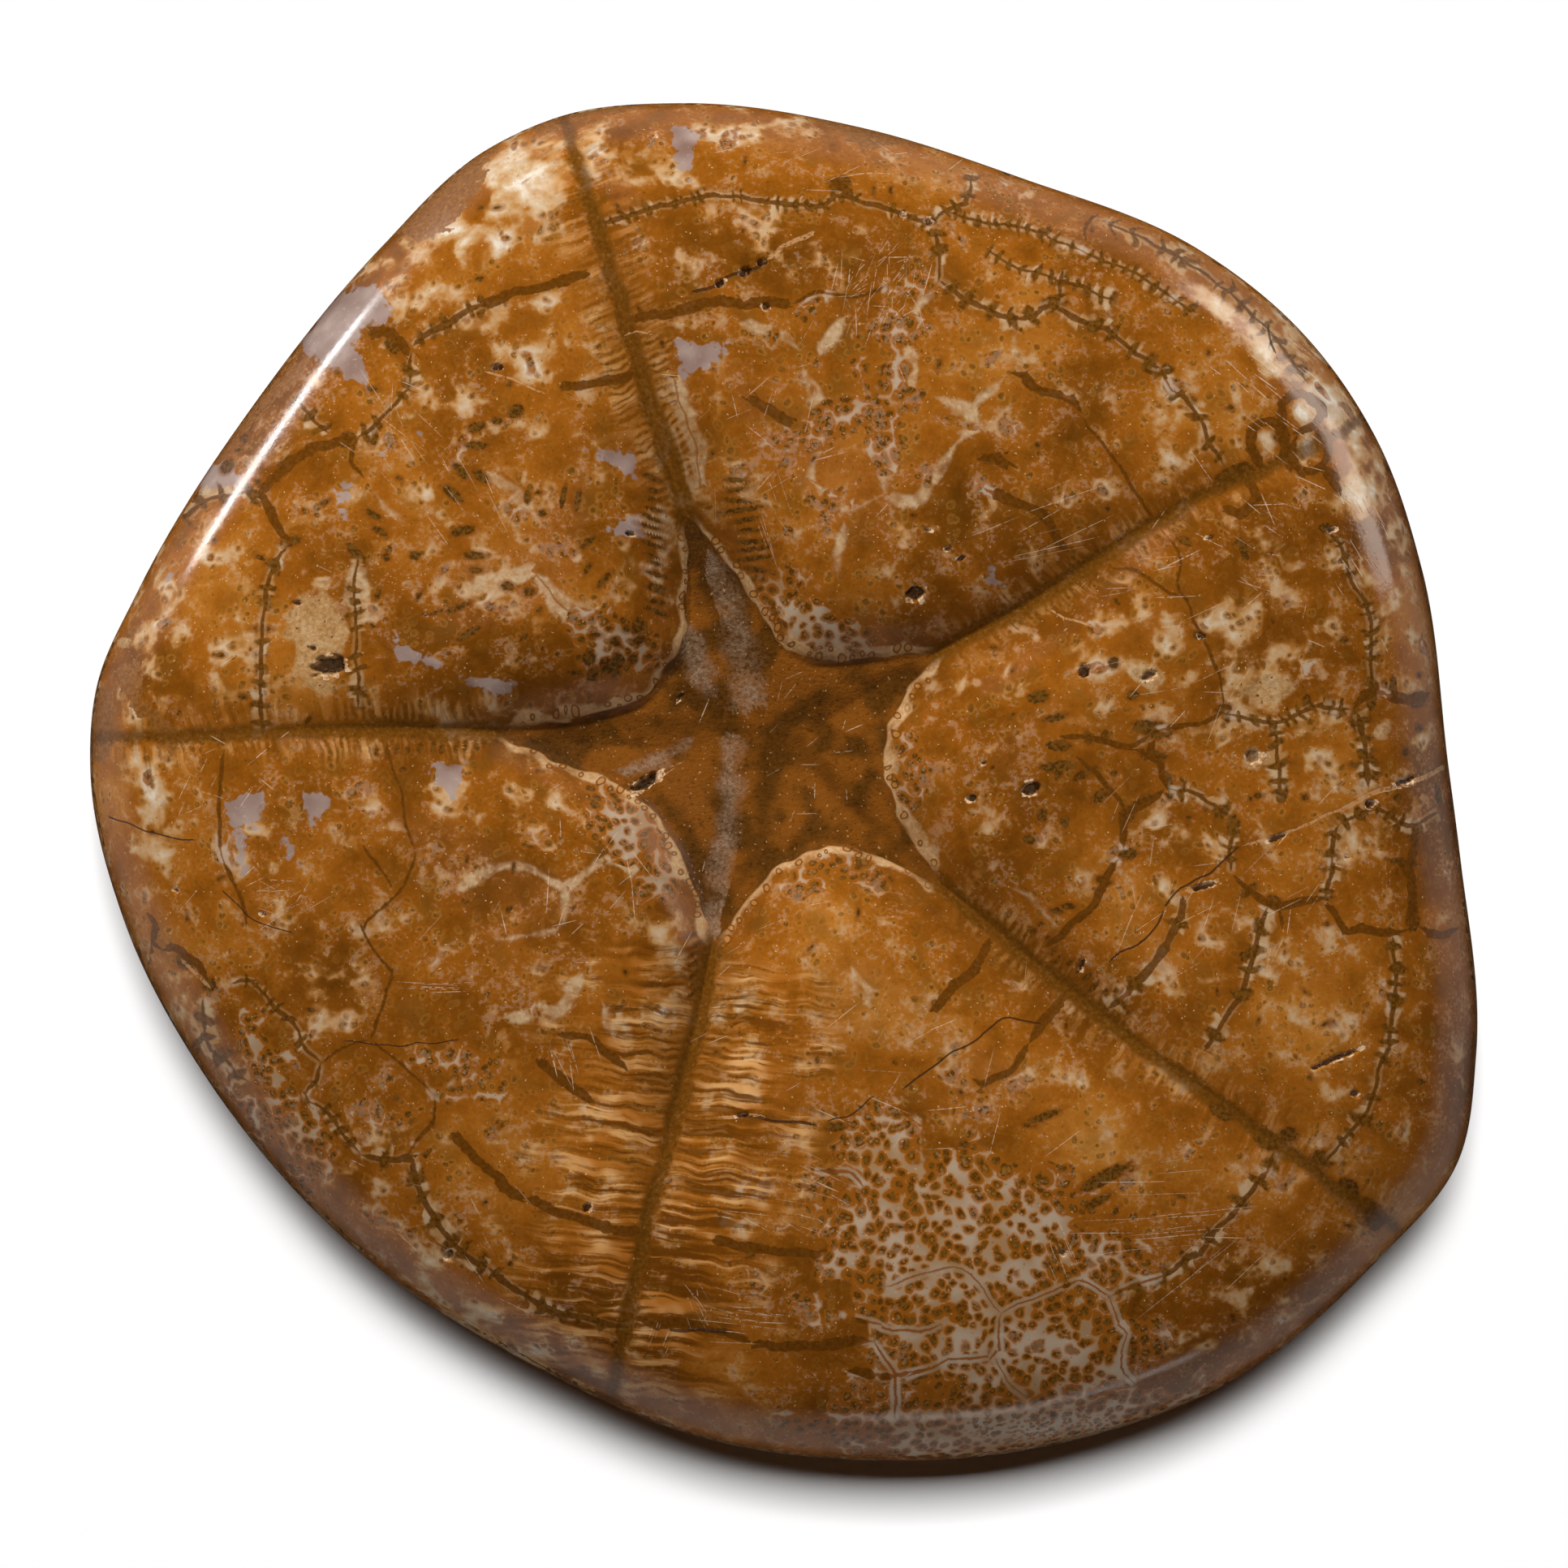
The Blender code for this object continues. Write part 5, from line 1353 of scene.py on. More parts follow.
class Wire:
    """One output of a shader node, with arithmetic that adds more nodes.

    Args:
        graph: The graph that the node is in.
        socket: The output.
        wide: Whether it carries a colour or vector, and not one number.
    """

    def __init__(self, graph: "Graph", socket: bpy.types.NodeSocket, wide: bool = False) -> None:
        self.graph, self.socket, self.wide = graph, socket, wide

    def _do(self, operation: str, *others: Any) -> "Wire":
        if self.wide or any(isinstance(o, Wire) and o.wide for o in others):
            return self.graph.vector_maths(operation, self, *others)
        return self.graph.maths(operation, self, *others)

    def _undo(self, operation: str, other: Any) -> "Wire":
        maths = self.graph.vector_maths if self.wide else self.graph.maths
        return maths(operation, other, self)

    def __add__(self, other: Any) -> "Wire":
        return self._do("ADD", other)

    def __radd__(self, other: Any) -> "Wire":
        return self._undo("ADD", other)

    def __sub__(self, other: Any) -> "Wire":
        return self._do("SUBTRACT", other)

    def __rsub__(self, other: Any) -> "Wire":
        return self._undo("SUBTRACT", other)

    def __mul__(self, other: Any) -> "Wire":
        return self._do("MULTIPLY", other)

    def __rmul__(self, other: Any) -> "Wire":
        return self._undo("MULTIPLY", other)

    def __truediv__(self, other: Any) -> "Wire":
        return self._do("DIVIDE", other)

    def __rtruediv__(self, other: Any) -> "Wire":
        return self._undo("DIVIDE", other)

    def __neg__(self) -> "Wire":
        return self * -1.0

    def __abs__(self) -> "Wire":
        return self._do("ABSOLUTE")

    def least(self, other: Any) -> "Wire":
        """The smaller of two numbers."""
        return self._do("MINIMUM", other)

    def most(self, other: Any) -> "Wire":
        """The larger of two numbers."""
        return self._do("MAXIMUM", other)

    def whole(self) -> "Wire":
        """The whole part."""
        return self._do("FLOOR")

    def part(self) -> "Wire":
        """The part after the point."""
        return self._do("FRACT")

    def wave(self) -> "Wire":
        """The sine."""
        return self._do("SINE")

    def rise(self, start: float | "Wire", end: float | "Wire") -> "Wire":
        """A soft step from 0 at start to 1 at end. Where start is larger, it falls instead."""
        return self.graph.soft_step(self, start, end)

    def channel(self, name: str) -> "Wire":
        """One channel of a colour."""
        return self.graph.split(self)[name]


class Graph:
    """The nodes of one material, or of the room round the scene.

    Args:
        owner: The material or the world.
    """

    def __init__(self, owner: bpy.types.Material | bpy.types.World) -> None:
        self.owner = owner
        owner.use_nodes = True
        self.tree = owner.node_tree
        self.tree.nodes.clear()
        self.splits: dict[Any, dict[str, Wire]] = {}

    def node(self, kind: str, settings: dict[str, Any] | None = None,
             inputs: dict[Any, Any] | None = None) -> bpy.types.Node:
        """Adds a node, sets it up and then feeds its inputs with numbers or wires."""
        made = self.tree.nodes.new(kind)
        for key, value in (settings or {}).items():
            setattr(made, key, value)
        for key, value in (inputs or {}).items():
            socket = made.inputs[key]
            if isinstance(value, Wire):
                self.tree.links.new(value.socket, socket)
            elif isinstance(value, (int, float)) and hasattr(socket.default_value, "__len__"):
                socket.default_value = [value] * len(socket.default_value)
            else:
                socket.default_value = value
        return made

    def maths(self, operation: str, *values: Any) -> Wire:
        """Number arithmetic."""
        made = self.node("ShaderNodeMath", {"operation": operation}, dict(enumerate(values)))
        return Wire(self, made.outputs[0])

    def vector_maths(self, operation: str, *values: Any) -> Wire:
        """Vector arithmetic. A number stands for a vector of three of it."""
        made = self.node("ShaderNodeVectorMath", {"operation": operation}, dict(enumerate(values)))
        return Wire(self, made.outputs[0], wide=True)

    def length(self, vector: Wire) -> Wire:
        """How long a vector is."""
        made = self.node("ShaderNodeVectorMath", {"operation": "LENGTH"}, {0: vector})
        return Wire(self, made.outputs["Value"])

    def soft_step(self, value: Wire, start: Any, end: Any) -> Wire:
        """A soft step between two places."""
        settings = {"interpolation_type": "SMOOTHSTEP"}
        made = self.node("ShaderNodeMapRange", settings, {0: value, 1: start, 2: end})
        return Wire(self, made.outputs[0])

    def join(self, x: Any, y: Any, z: Any) -> Wire:
        """A vector from three numbers."""
        made = self.node("ShaderNodeCombineXYZ", None, {0: x, 1: y, 2: z})
        return Wire(self, made.outputs[0], wide=True)

    def split(self, colour: Wire) -> dict[str, Wire]:
        """The three channels of a colour."""
        key = colour.socket.as_pointer()
        if key not in self.splits:
            made = self.node("ShaderNodeSeparateXYZ", None, {0: colour})
            self.splits[key] = {name: Wire(self, made.outputs[i]) for i, name in enumerate("xyz")}
        return self.splits[key]

    def kept(self, name: str) -> tuple[Wire, Wire, Wire, Wire]:
        """The four numbers kept on the mesh under a name."""
        made = self.node("ShaderNodeAttribute", {"attribute_name": name, "attribute_type": "GEOMETRY"})
        parts = self.split(Wire(self, made.outputs["Vector"], wide=True))
        return parts["x"], parts["y"], parts["z"], Wire(self, made.outputs["Alpha"])

    def place(self) -> Wire:
        """The place on the stone, in millimetres."""
        made = self.node("ShaderNodeTexCoord")
        return Wire(self, made.outputs["Object"], wide=True) * (1 / MM)

    def cloud(self, place: Wire, scale: float, detail: float = 2.0, roughness: float = 0.5,
              colour: bool = False) -> Wire:
        """Soft noise about 0.5, as a number or as three in one."""
        made = self.node(
            "ShaderNodeTexNoise", {"noise_dimensions": "3D"},
            {"Vector": place, "Scale": scale, "Detail": detail, "Roughness": roughness},
        )
        return Wire(self, made.outputs[1 if colour else 0], wide=colour)

    def cells(self, flat_place: Wire, spacing: float) -> tuple[Wire, Wire]:
        """How far the nearest of many strewn dots is, in millimetres, and that dot's random colour."""
        made = self.node(
            "ShaderNodeTexVoronoi", {"voronoi_dimensions": "2D"}, {"Vector": flat_place, "Scale": 1 / spacing}
        )
        return Wire(self, made.outputs["Distance"]) * spacing, Wire(self, made.outputs["Color"], wide=True)

    def random(self, number: Wire) -> Wire:
        """Three random numbers for each whole number."""
        made = self.node("ShaderNodeTexWhiteNoise", {"noise_dimensions": "1D"}, {"W": number})
        return Wire(self, made.outputs["Color"], wide=True)

    def mix(self, amount: Any, first: Any, second: Any) -> Wire:
        """A blend from the first colour to the second."""
        made = self.node("ShaderNodeMix", {"data_type": "RGBA"}, {0: amount, 6: first, 7: second})
        return Wire(self, made.outputs[2], wide=True)

    def ramp(self, place: Wire, stops: Sequence[tuple[float, tuple[float, ...]]]) -> Wire:
        """A colour from a row of colours."""
        made = self.node("ShaderNodeValToRGB", None, {0: place})
        row = made.color_ramp.elements
        while len(row) < len(stops):
            row.new(0.5)
        for element, (where, colour) in zip(row, stops):
            element.position = where
            element.color = colour
        return Wire(self, made.outputs[0], wide=True)


def shade(red: int, green: int, blue: int) -> tuple[float, float, float, float]:
    """A colour given in the usual 0 to 255 numbers, as light."""
    def light(value: int) -> float:
        part = value / 255
        return part / 12.92 if part <= 0.04045 else ((part + 0.055) / 1.055) ** 2.4

    return light(red), light(green), light(blue), 1.0


# ---------------------------------------------------------------------------------------------------
# The finish of the stone
# ---------------------------------------------------------------------------------------------------


@dataclass
class FossilFinish:
    """Polished amber calcite with every marking of the shell in it, and some painted shade, glints and sheen."""

    name: str = "polished_amber_calcite"

    def build(self) -> bpy.types.Material:
        """Makes the material."""
        self.graph = Graph(bpy.data.materials.new(self.name))
        self.read_fields()
        colour = self.amber_ground()
        colour = self.streaks(colour)
        colour = self.veins(colour)
        colour = self.windows(colour)
        colour = self.plates(colour)
        colour = self.seams(colour)
        colour = self.valleys(colour)
        colour = self.chalk(colour)
        colour = self.fine_lines(colour)
        colour = self.pits(colour)
        self.shader(colour)
        return self.graph.owner

    def read_fields(self) -> None:
        """The noises and kept numbers that several markings share."""
        g = self.graph
        self.place = g.place()
        self.dx, self.dy, self.dz, self.broad = g.kept("drift")
        drift = g.join(self.dx, self.dy, self.dz)
        self.patch = g.cloud(self.place + drift, 0.5, 1.0, 0.5) - 0.5
        self.middling = g.cloud(self.place + drift, 1.6, 1.0, 0.5) - 0.5
        self.grain = g.cloud(self.place, 3.9, 2.0, 0.65) - 0.5
        self.cream, self.spotted, self.dark, self.chalky = g.kept("areas")
        self.below, _, self.hole, self.crumb = g.kept("depths")
        on_side = self.below.rise(3.49, 3.51)
        top_x, top_y, foot_x, foot_y = g.kept("maps")
        across = (top_x + (foot_x - top_x + 0.3) * on_side) * (1 / MM) + self.dx * 0.9 + self.middling * 0.3
        along = (top_y + (foot_y - top_y) * on_side) * (1 / MM) + self.dy + self.grain * 0.2
        flat = g.join(across, along, 0.0)
        self.dot_gap, self.dot_own = g.cells(flat, 0.74)
        self.speck_gap, self.speck_own = g.cells(flat, 0.42)
        self.window_in, self.window_kind, self.lip_in, self.lip_run = g.kept("outlines")
        self.groove_run, self.groove_off, self.groove_share, self.streak_reach = g.kept("groove")
        self.speckle = self.grain.rise(-0.1, 0.08)
        self.soft_speckle = self.grain.rise(-0.3, 0.3)

    def amber_ground(self) -> Wire:
        """Amber calcite, pale in soft patches (along the upper right shoulder partly a painted sheen), with the dark
        tubercles of the shell and a painted glint in the middle of some of them.
        """
        g = self.graph
        tone = 0.48 + self.broad * 0.85 + self.patch * 0.6 + self.dz * 0.2 + self.middling * 0.2
        colour = g.ramp(tone + self.grain * 0.3 - self.dark * 0.4, [
            (0.0, shade(84, 47, 6)), (0.28, shade(113, 63, 10)), (0.5, shade(138, 79, 17)),
            (0.7, shade(156, 97, 32)), (1.0, shade(186, 132, 68)),
        ])
        colour = g.mix(self.dy.rise(0.04, 0.24) * 0.3, colour, shade(104, 72, 24))
        own_x, own_y, own_z = (self.dot_own.channel(axis) for axis in "xyz")
        kept_dot = own_z.rise(0.4, 0.44)
        reach = own_x * 0.12 + 0.08
        kept_dot = kept_dot * self.cream.rise(1.2, 0.9)
        island = self.dot_gap.rise(reach + 0.18, reach + 0.06) * kept_dot

        # Along the upper right shoulder this pale cover is partly a painted sheen.
        pale = self.cream * 0.5 + self.patch * 2.0 + self.dy * 0.9 + self.middling * 0.5 - 0.26
        fleck = self.dx * 1.4 + self.middling * 0.8 + self.patch * 0.7
        amount = pale.rise(-0.04, 0.3).most(fleck.rise(0.24, 0.44) * 0.7)
        light = g.ramp(pale * 1.1 + self.grain * 0.5 + fleck * 0.5, [
            (0.0, shade(152, 98, 40)), (0.25, shade(166, 120, 70)), (0.55, shade(178, 144, 104)),
            (0.8, shade(192, 170, 142)), (1.0, shade(212, 200, 182)),
        ])
        colour = g.mix(amount * (1.0 - island * 0.65), colour, light)

        spread = self.spotted + self.patch * 1.3 + self.dx * 0.5
        net = spread.rise(0.24, 0.34)
        cell = own_x * 0.12 + (0.56 - spread * 0.36).most(0.21) + self.dz * 0.2
        fine = self.spotted.rise(1.0, 1.06)
        inside = self.dot_gap.rise(cell + 0.2, cell - 0.06) * (1.0 - fine)
        inside = inside.most(self.speck_gap.rise(0.2, 0.1) * fine)
        stain = g.mix(inside.rise(0.3, 1.0), shade(166, 106, 42), shade(134, 76, 16))
        self.grey = g.mix(self.patch.rise(-0.2, 0.25), shade(146, 114, 80), shade(166, 146, 124))
        colour = g.mix(net, colour, g.mix(inside, self.grey, stain))
        self.net = net

        core_reach = reach + net * ((cell * 0.66).least(0.22) - reach)
        core = self.dot_gap.rise(core_reach + 0.06, core_reach - 0.04) * kept_dot.most(net)
        # Painted glint: some tubercles get a lighter middle.
        painted_dot_glint = self.dot_gap.rise(core_reach * 0.7, core_reach * 0.3) * own_y.rise(0.74, 0.8)
        core_colour = g.mix(self.speckle, shade(70, 42, 8), shade(100, 68, 22))
        core_colour = g.mix(painted_dot_glint * 0.6, core_colour, shade(146, 98, 40))
        halo = self.dot_gap.rise(reach + 0.2, reach + 0.1) * kept_dot * (1.0 - net)
        plain = (self.patch * 2.2 + self.dy * 3.0 + self.dark * 0.4 + 0.5).rise(0.0, 1.0) * 0.5 + 0.2
        plain = plain.most(self.net * 0.85)
        colour = g.mix(halo * plain * 0.4, colour, shade(170, 112, 44))
        colour = g.mix(core * plain, colour, core_colour)
        tiny = self.speck_gap.rise(0.07, 0.03) * self.speck_own.channel("x").rise(0.8, 0.84)
        colour = g.mix(tiny * 0.5, colour, shade(76, 44, 6))
        bright = self.speck_own.channel("z").rise(0.9, 0.91) * self.speck_gap.rise(0.055, 0.03)
        colour = g.mix(bright * 0.6, colour, shade(206, 168, 120))
        dust = (self.grain + self.middling * 0.6 + self.patch * 0.8).rise(0.08, 0.2)
        return g.mix(dust * 0.25, colour, shade(166, 138, 112))

    def streaks(self, colour: Wire) -> Wire:
        """Fibres of the shell that lean out from the grooves, and short dark teeth along them."""
        g = self.graph
        off = abs(self.groove_off)
        run = self.groove_run + self.dx * 0.7 + self.groove_off * 0.12
        fibre = g.cloud(g.join(run * 2.1, self.groove_off * 0.15, self.streak_reach), 1.0, 2.0, 0.6) - 0.5
        reach = self.streak_reach * (1.0 + self.dy * 1.2 + self.patch * 1.0)
        middle = self.groove_share.rise(0.0, 0.06) * self.groove_share.rise(1.02, 0.86)
        zone = off.rise(reach, reach * 0.3) * off.rise(0.3, 0.8) * middle
        wide = self.streak_reach.rise(3.2, 8.0) * 0.5 + 0.4
        light = g.mix(self.patch.rise(-0.14, 0.14), shade(164, 98, 34), shade(204, 154, 96))
        colour = g.mix(fibre.rise(0.0, 0.12) * zone * wide, colour, light)
        colour = g.mix(fibre.rise(-0.02, -0.12) * zone * wide, colour, shade(90, 48, 6))
        beat = (run * 12.6 + self.dz * 8.0 + self.middling * 4.0).wave()
        long = (self.streak_reach * 0.9 - 1.2).least(3.4) + self.dy * 3.0 + self.patch * 2.0
        zone = off.rise(long + 0.3, long - 0.4) * off.rise(0.4, 0.7) * middle
        zone = zone * self.groove_share.rise(0.7, 0.3) * (0.8 + self.dx * 1.6 + self.middling).least(1.0)
        zone = zone * (1.0 - self.streak_reach.rise(5.0, 9.0) * 0.5)
        colour = g.mix(beat.rise(0.1, -0.7) * zone * 0.4, colour, shade(188, 136, 74))
        teeth_colour = g.mix(self.speckle, shade(82, 48, 6), shade(108, 68, 18))
        return g.mix(beat.rise(0.3, 0.9) * zone * 0.75, colour, teeth_colour)

    def veins(self, colour: Wire) -> Wire:
        """Pale calcite that healed old seams."""
        g = self.graph
        _, off, width, style = g.kept("vein")
        off = abs(off + self.dx * 0.5 + self.grain * 0.1)
        width = width * 1.15 + self.dy * 0.6 + self.patch * 0.4
        light = g.mix(self.soft_speckle, shade(168, 130, 84), shade(186, 162, 130))
        amount = off.rise(width + 0.2, width - 0.14) * style.rise(1.6, 1.4) * (1.0 - self.net)
        colour = g.mix(amount * (0.62 + self.dz * 1.2 + self.middling * 1.5).least(0.9), colour, light)
        middle = off.rise(0.09, 0.03) * style.least(1.0) * width.rise(0.0, 0.1) * style.rise(1.6, 1.4)
        middle = middle * (1.0 - self.net)
        return g.mix(middle * 0.7, colour, shade(122, 70, 20))

    def windows(self, colour: Wire) -> Wire:
        """Clear lilac-grey calcite with straight edges, and coarse brown sediment."""
        g = self.graph
        inside, kind = self.window_in + self.dx * 0.2 + self.grain * 0.1 + (self.middling - 0.1) * 1.2, self.window_kind
        clear = g.mix(self.patch * 2.2 + 0.45, shade(118, 94, 84), shade(156, 138, 130))
        clear = g.mix(self.grain.rise(0.12, 0.26) * 0.4, clear, shade(196, 178, 162))
        amount = inside.rise(-0.05, 0.14) * kind.rise(0.0, 0.5)
        worn = (inside * 0.5 + self.patch * 1.4 + 0.3).rise(-0.05, 0.2)
        colour = g.mix(amount * worn * 0.88, colour, clear)
        self.sediment = (inside + self.grain * 0.6).rise(-0.05, 0.08) * kind.rise(0.0, -0.5)
        earth = g.mix(self.soft_speckle, shade(104, 60, 16), shade(136, 88, 40))
        earth = g.mix(self.grain.rise(0.16, 0.24) * 0.4, earth, shade(160, 128, 90))
        return g.mix(self.sediment, colour, earth)

    def plates(self, colour: Wire) -> Wire:
        """Dark speckled ovals."""
        g = self.graph
        along, across, size, own = g.kept("plate")
        reach = g.length(g.join(along, across, 0.0)) + self.dx * 0.7 + self.grain * 0.4
        blur = 0.07 / size.most(0.08)
        rim = reach.rise(1.0 + blur * 3.0, 1.0 + blur)
        colour = g.mix(rim * 0.5 * own.rise(0.5, 1.5), colour, shade(120, 64, 12))
        fill = g.mix(self.speckle, shade(66, 40, 8), shade(98, 64, 20))
        return g.mix(reach.rise(1.0 + blur, 1.0 - blur) * 0.94, colour, fill)

    def seams(self, colour: Wire) -> Wire:
        """The seams between the shell plates: a dark line, with rungs and pale boxes across some."""
        g = self.graph
        drawn = [self.seam(name) for name in ("seam_a", "seam_b")]
        light = g.mix((self.patch + self.middling).rise(-0.2, 0.2), shade(164, 120, 70), shade(176, 150, 116))
        light = g.mix(self.net, light, self.grey)
        dark = g.mix(self.speckle, shade(76, 44, 6), shade(102, 64, 16))
        thread = g.mix(self.soft_speckle, shade(74, 40, 4), shade(100, 58, 12))
        thread = g.mix(self.net * 0.8, thread, shade(130, 70, 20))
        for glow, pale, _, _ in drawn:
            colour = g.mix(glow, colour, shade(112, 62, 10))
            colour = g.mix(pale, colour, light)
        for _, _, line, rung in drawn:
            colour = g.mix(line, colour, thread)
            colour = g.mix(rung, colour, dark)
        return colour

    def seam(self, name: str) -> tuple[Wire, Wire, Wire, Wire]:
        """How strongly the nearest seam tints each place: its glow, pale boxes, dark line and rungs."""
        g = self.graph
        run, off, width, style = g.kept(name)
        gap = abs(off + self.dx * 0.5 + self.grain * 0.12)
        here = width.rise(-0.02, 0.03)
        rungs = abs(style).rise(0.2, 0.8) * here
        coarse = (abs(style) - 1.0).most(0.0)
        pace = coarse * 0.7 + 0.72
        step = (run + self.dz * 1.6) / pace
        own = g.random(step.whole())
        own_x, own_y, own_z = (own.channel(axis) for axis in "xyz")
        from_rung = abs(step.part() - 0.5 - (own_x - 0.5) * 0.4) * pace
        glow = gap.rise(1.0, 0.1) * here * (0.28 - self.net * 0.28)

        side = (off * 8.0).rise(-1.0, 1.0)
        chosen = side * own_y.rise(0.5, 0.62) + (1.0 - side) * own_z.rise(0.5, 0.62)
        deep = own_x * 0.34 + 0.12 + self.dy * 0.9 + self.middling * 0.8 + coarse * 0.15
        box = from_rung.rise(0.04, 0.3 + coarse * 0.1) * gap.rise(deep + 0.24, deep - 0.14)
        margin = gap.rise(0.36, 0.2) * here * (self.net + rungs * (1.0 - self.net) * 0.45)
        pale = (box * chosen * rungs * (1.0 - self.net)).most(margin)

        long = own_z * 0.3 + 0.3 + coarse * 0.2
        thick = own_y * 0.1 + 0.12 + coarse * 0.14
        oval = g.length(g.join(from_rung / thick, gap / long, 0.0)) + self.grain * 0.5
        rung = oval.rise(1.3, 0.75) * own_x.rise(0.12, 0.16) * (1.0 - self.net * 0.8)
        thin = width.least(0.26) * (1.15 - self.net * 0.7 + self.middling * 1.6 * width.rise(0.15, 0.3))
        line = gap.rise(thin + 0.06, thin - 0.03) * here
        return glow, pale * 0.82, line * 0.92, rung * rungs * 0.9

    def valleys(self, colour: Wire) -> Wire:
        """Sediment in the grooves and the hollow, painted shade beside the grooves and along creases of the hollow
        floor, and the pale lip round the hollow.
        """
        g = self.graph
        share = self.groove_share
        off = abs(self.groove_off + self.dx * 0.8 + self.grain * 0.35)
        width = 0.55 - share * 0.22
        here = share.rise(1.01, 0.97)
        # Painted shade: the stone darkens for a few millimetres beside each groove, most near the mouth.
        shadow = off.rise(3.4, 0.3) * share.rise(1.0, 0.0) * 0.4
        colour = g.mix(shadow, colour, shade(88, 48, 6))
        band = off.rise(width + 0.28, width - 0.2) * here
        earth = g.mix(self.soft_speckle, shade(74, 42, 5), shade(104, 64, 16))
        earth = g.mix(self.grain.rise(0.16, 0.24) * 0.4, earth, shade(150, 112, 66))
        colour = g.mix(band * 0.85, colour, earth)

        inside = self.lip_in + self.dx * 0.8 + self.grain * 0.1
        at_tip = abs(self.groove_off).rise(0.9, 0.2) * self.groove_share.rise(0.2, 0.12)
        outer = 0.0 - (0.2 + self.dy * 1.4 + self.patch * 1.6).most(0.05)
        rim = inside.rise(outer - 0.34, outer + 0.02) * inside.rise(0.1, 0.0) * (1.0 - at_tip)
        light = g.mix(self.soft_speckle, shade(176, 128, 72), shade(194, 164, 126))
        colour = g.mix(rim * (0.72 + self.dz * 1.4).least(0.9), colour, light)
        bead = (self.lip_run + self.dz * 0.6) * (1 / 0.66)
        bead_own = g.random(bead.whole())
        bead_x = (bead.part() - 0.5) * 0.66 + (bead_own.channel("x") - 0.5) * 0.1
        bead_y = inside + 0.22 + (bead_own.channel("y") - 0.5) * 0.5
        from_bead = g.length(g.join(bead_x, bead_y, 0.0)) - bead_own.channel("z") * 0.12 + 0.04
        shown = bead_own.channel("x").rise(0.3, 0.32) * (1.0 - at_tip)
        colour = g.mix(from_bead.rise(0.14, 0.1) * shown * 0.7, colour, shade(166, 112, 52))
        ring = abs(from_bead - 0.15).rise(0.07, 0.03) * shown

        self.hollow = inside.rise(-0.04, 0.12)
        dust = self.patch * 1.2 + self.dz * 0.8 + self.broad * 0.8
        floor = g.mix(dust.rise(-0.2, 0.2), shade(66, 36, 4), shade(112, 62, 12))
        floor = g.mix(self.soft_speckle * 0.25, floor, shade(128, 84, 36))
        floor = g.mix(self.speck_own.channel("y").rise(0.72, 0.8) * self.speck_gap.rise(0.06, 0.03) * 0.6,
                      floor, shade(176, 138, 94))
        floor = g.mix(self.grain.rise(-0.1, -0.22) * 0.5, floor, shade(50, 28, 4))
        # Lines of style 2 are grey dust, and lines of style 3 are painted crease shade.
        _, dust_and_shade_off, dust_and_shade_width, stain = g.kept("vein")
        soft = abs(dust_and_shade_off + self.dx * 1.2 + self.patch * 0.8).rise(dust_and_shade_width + 0.5, dust_and_shade_width * 0.2)
        soft = soft * (self.patch * 1.6 + self.grain * 0.9 + 0.55).least(1.0).most(0.0)
        grey = g.mix(self.soft_speckle, shade(108, 80, 54), shade(146, 126, 106))
        floor = g.mix(soft * stain.rise(1.5, 2.0) * stain.rise(2.6, 2.4) * 0.75, floor, grey)
        # Painted shade: soft dark lines along the creases of the hollow floor.
        floor = g.mix(soft * stain.rise(2.5, 3.0) * 0.5, floor, shade(48, 26, 4))
        colour = g.mix(self.hollow, colour, floor)
        return g.mix(ring * 0.85, colour, g.mix(self.soft_speckle, shade(82, 44, 6), shade(112, 64, 16)))

    def chalk(self, colour: Wire) -> Wire:
        """Soft limestone that the polish didn't close."""
        g = self.graph
        field = self.chalky + self.patch * 1.2 + self.dy * 0.6
        self.chalked = field.rise(0.42, 0.64)
        tan = g.mix(self.soft_speckle, shade(140, 100, 54), shade(180, 146, 102))
        colour = g.mix(self.chalked * 0.72, colour, tan)
        self.pores = self.chalked * self.speck_gap.rise(0.09, 0.04) * self.speck_own.channel("y").rise(0.8, 0.86)
        return g.mix(self.pores, colour, shade(84, 52, 20))

    def fine_lines(self, colour: Wire) -> Wire:
        """Hairline cracks and scratches."""
        g = self.graph
        self.cuts: Any = None
        for name in ("fine_b", "fine_a"):
            _, off, width, tone = g.kept(name)
            off = abs(off)
            line = off.rise(width + 0.025, width - 0.01) * width.rise(0.0, 0.008)
            crack = line * tone.rise(0.0, -0.5)
            pale = line * tone.most(0.0)
            colour = g.mix(crack * 0.85, colour, shade(56, 30, 6))
            filling = g.mix(tone.rise(0.85, 0.95), shade(206, 180, 150), shade(172, 128, 84))
            colour = g.mix(pale * self.grain.rise(-0.16, 0.0) * 0.8, colour, filling)
            cut = crack + pale * 0.35
            self.cuts = cut if self.cuts is None else self.cuts.most(cut)
        return colour

    def pits(self, colour: Wire) -> Wire:
        """Crumbling pale edges, and dark insides that are painted shade."""
        g = self.graph
        crumb = (self.crumb + self.grain * 2.4 + self.middling * 1.6).rise(0.4, 0.7) * self.crumb.rise(0.0, 0.3)
        colour = g.mix(crumb * 0.75, colour, g.mix(self.speckle, shade(168, 122, 74), shade(214, 184, 148)))
        # Painted shade: the inside of each pit is darkened.
        inside = (self.hole + self.grain * 1.6).rise(0.5, 0.9) * self.hole.rise(0.0, 0.3)
        return g.mix(inside * 0.75, colour, shade(78, 48, 20))

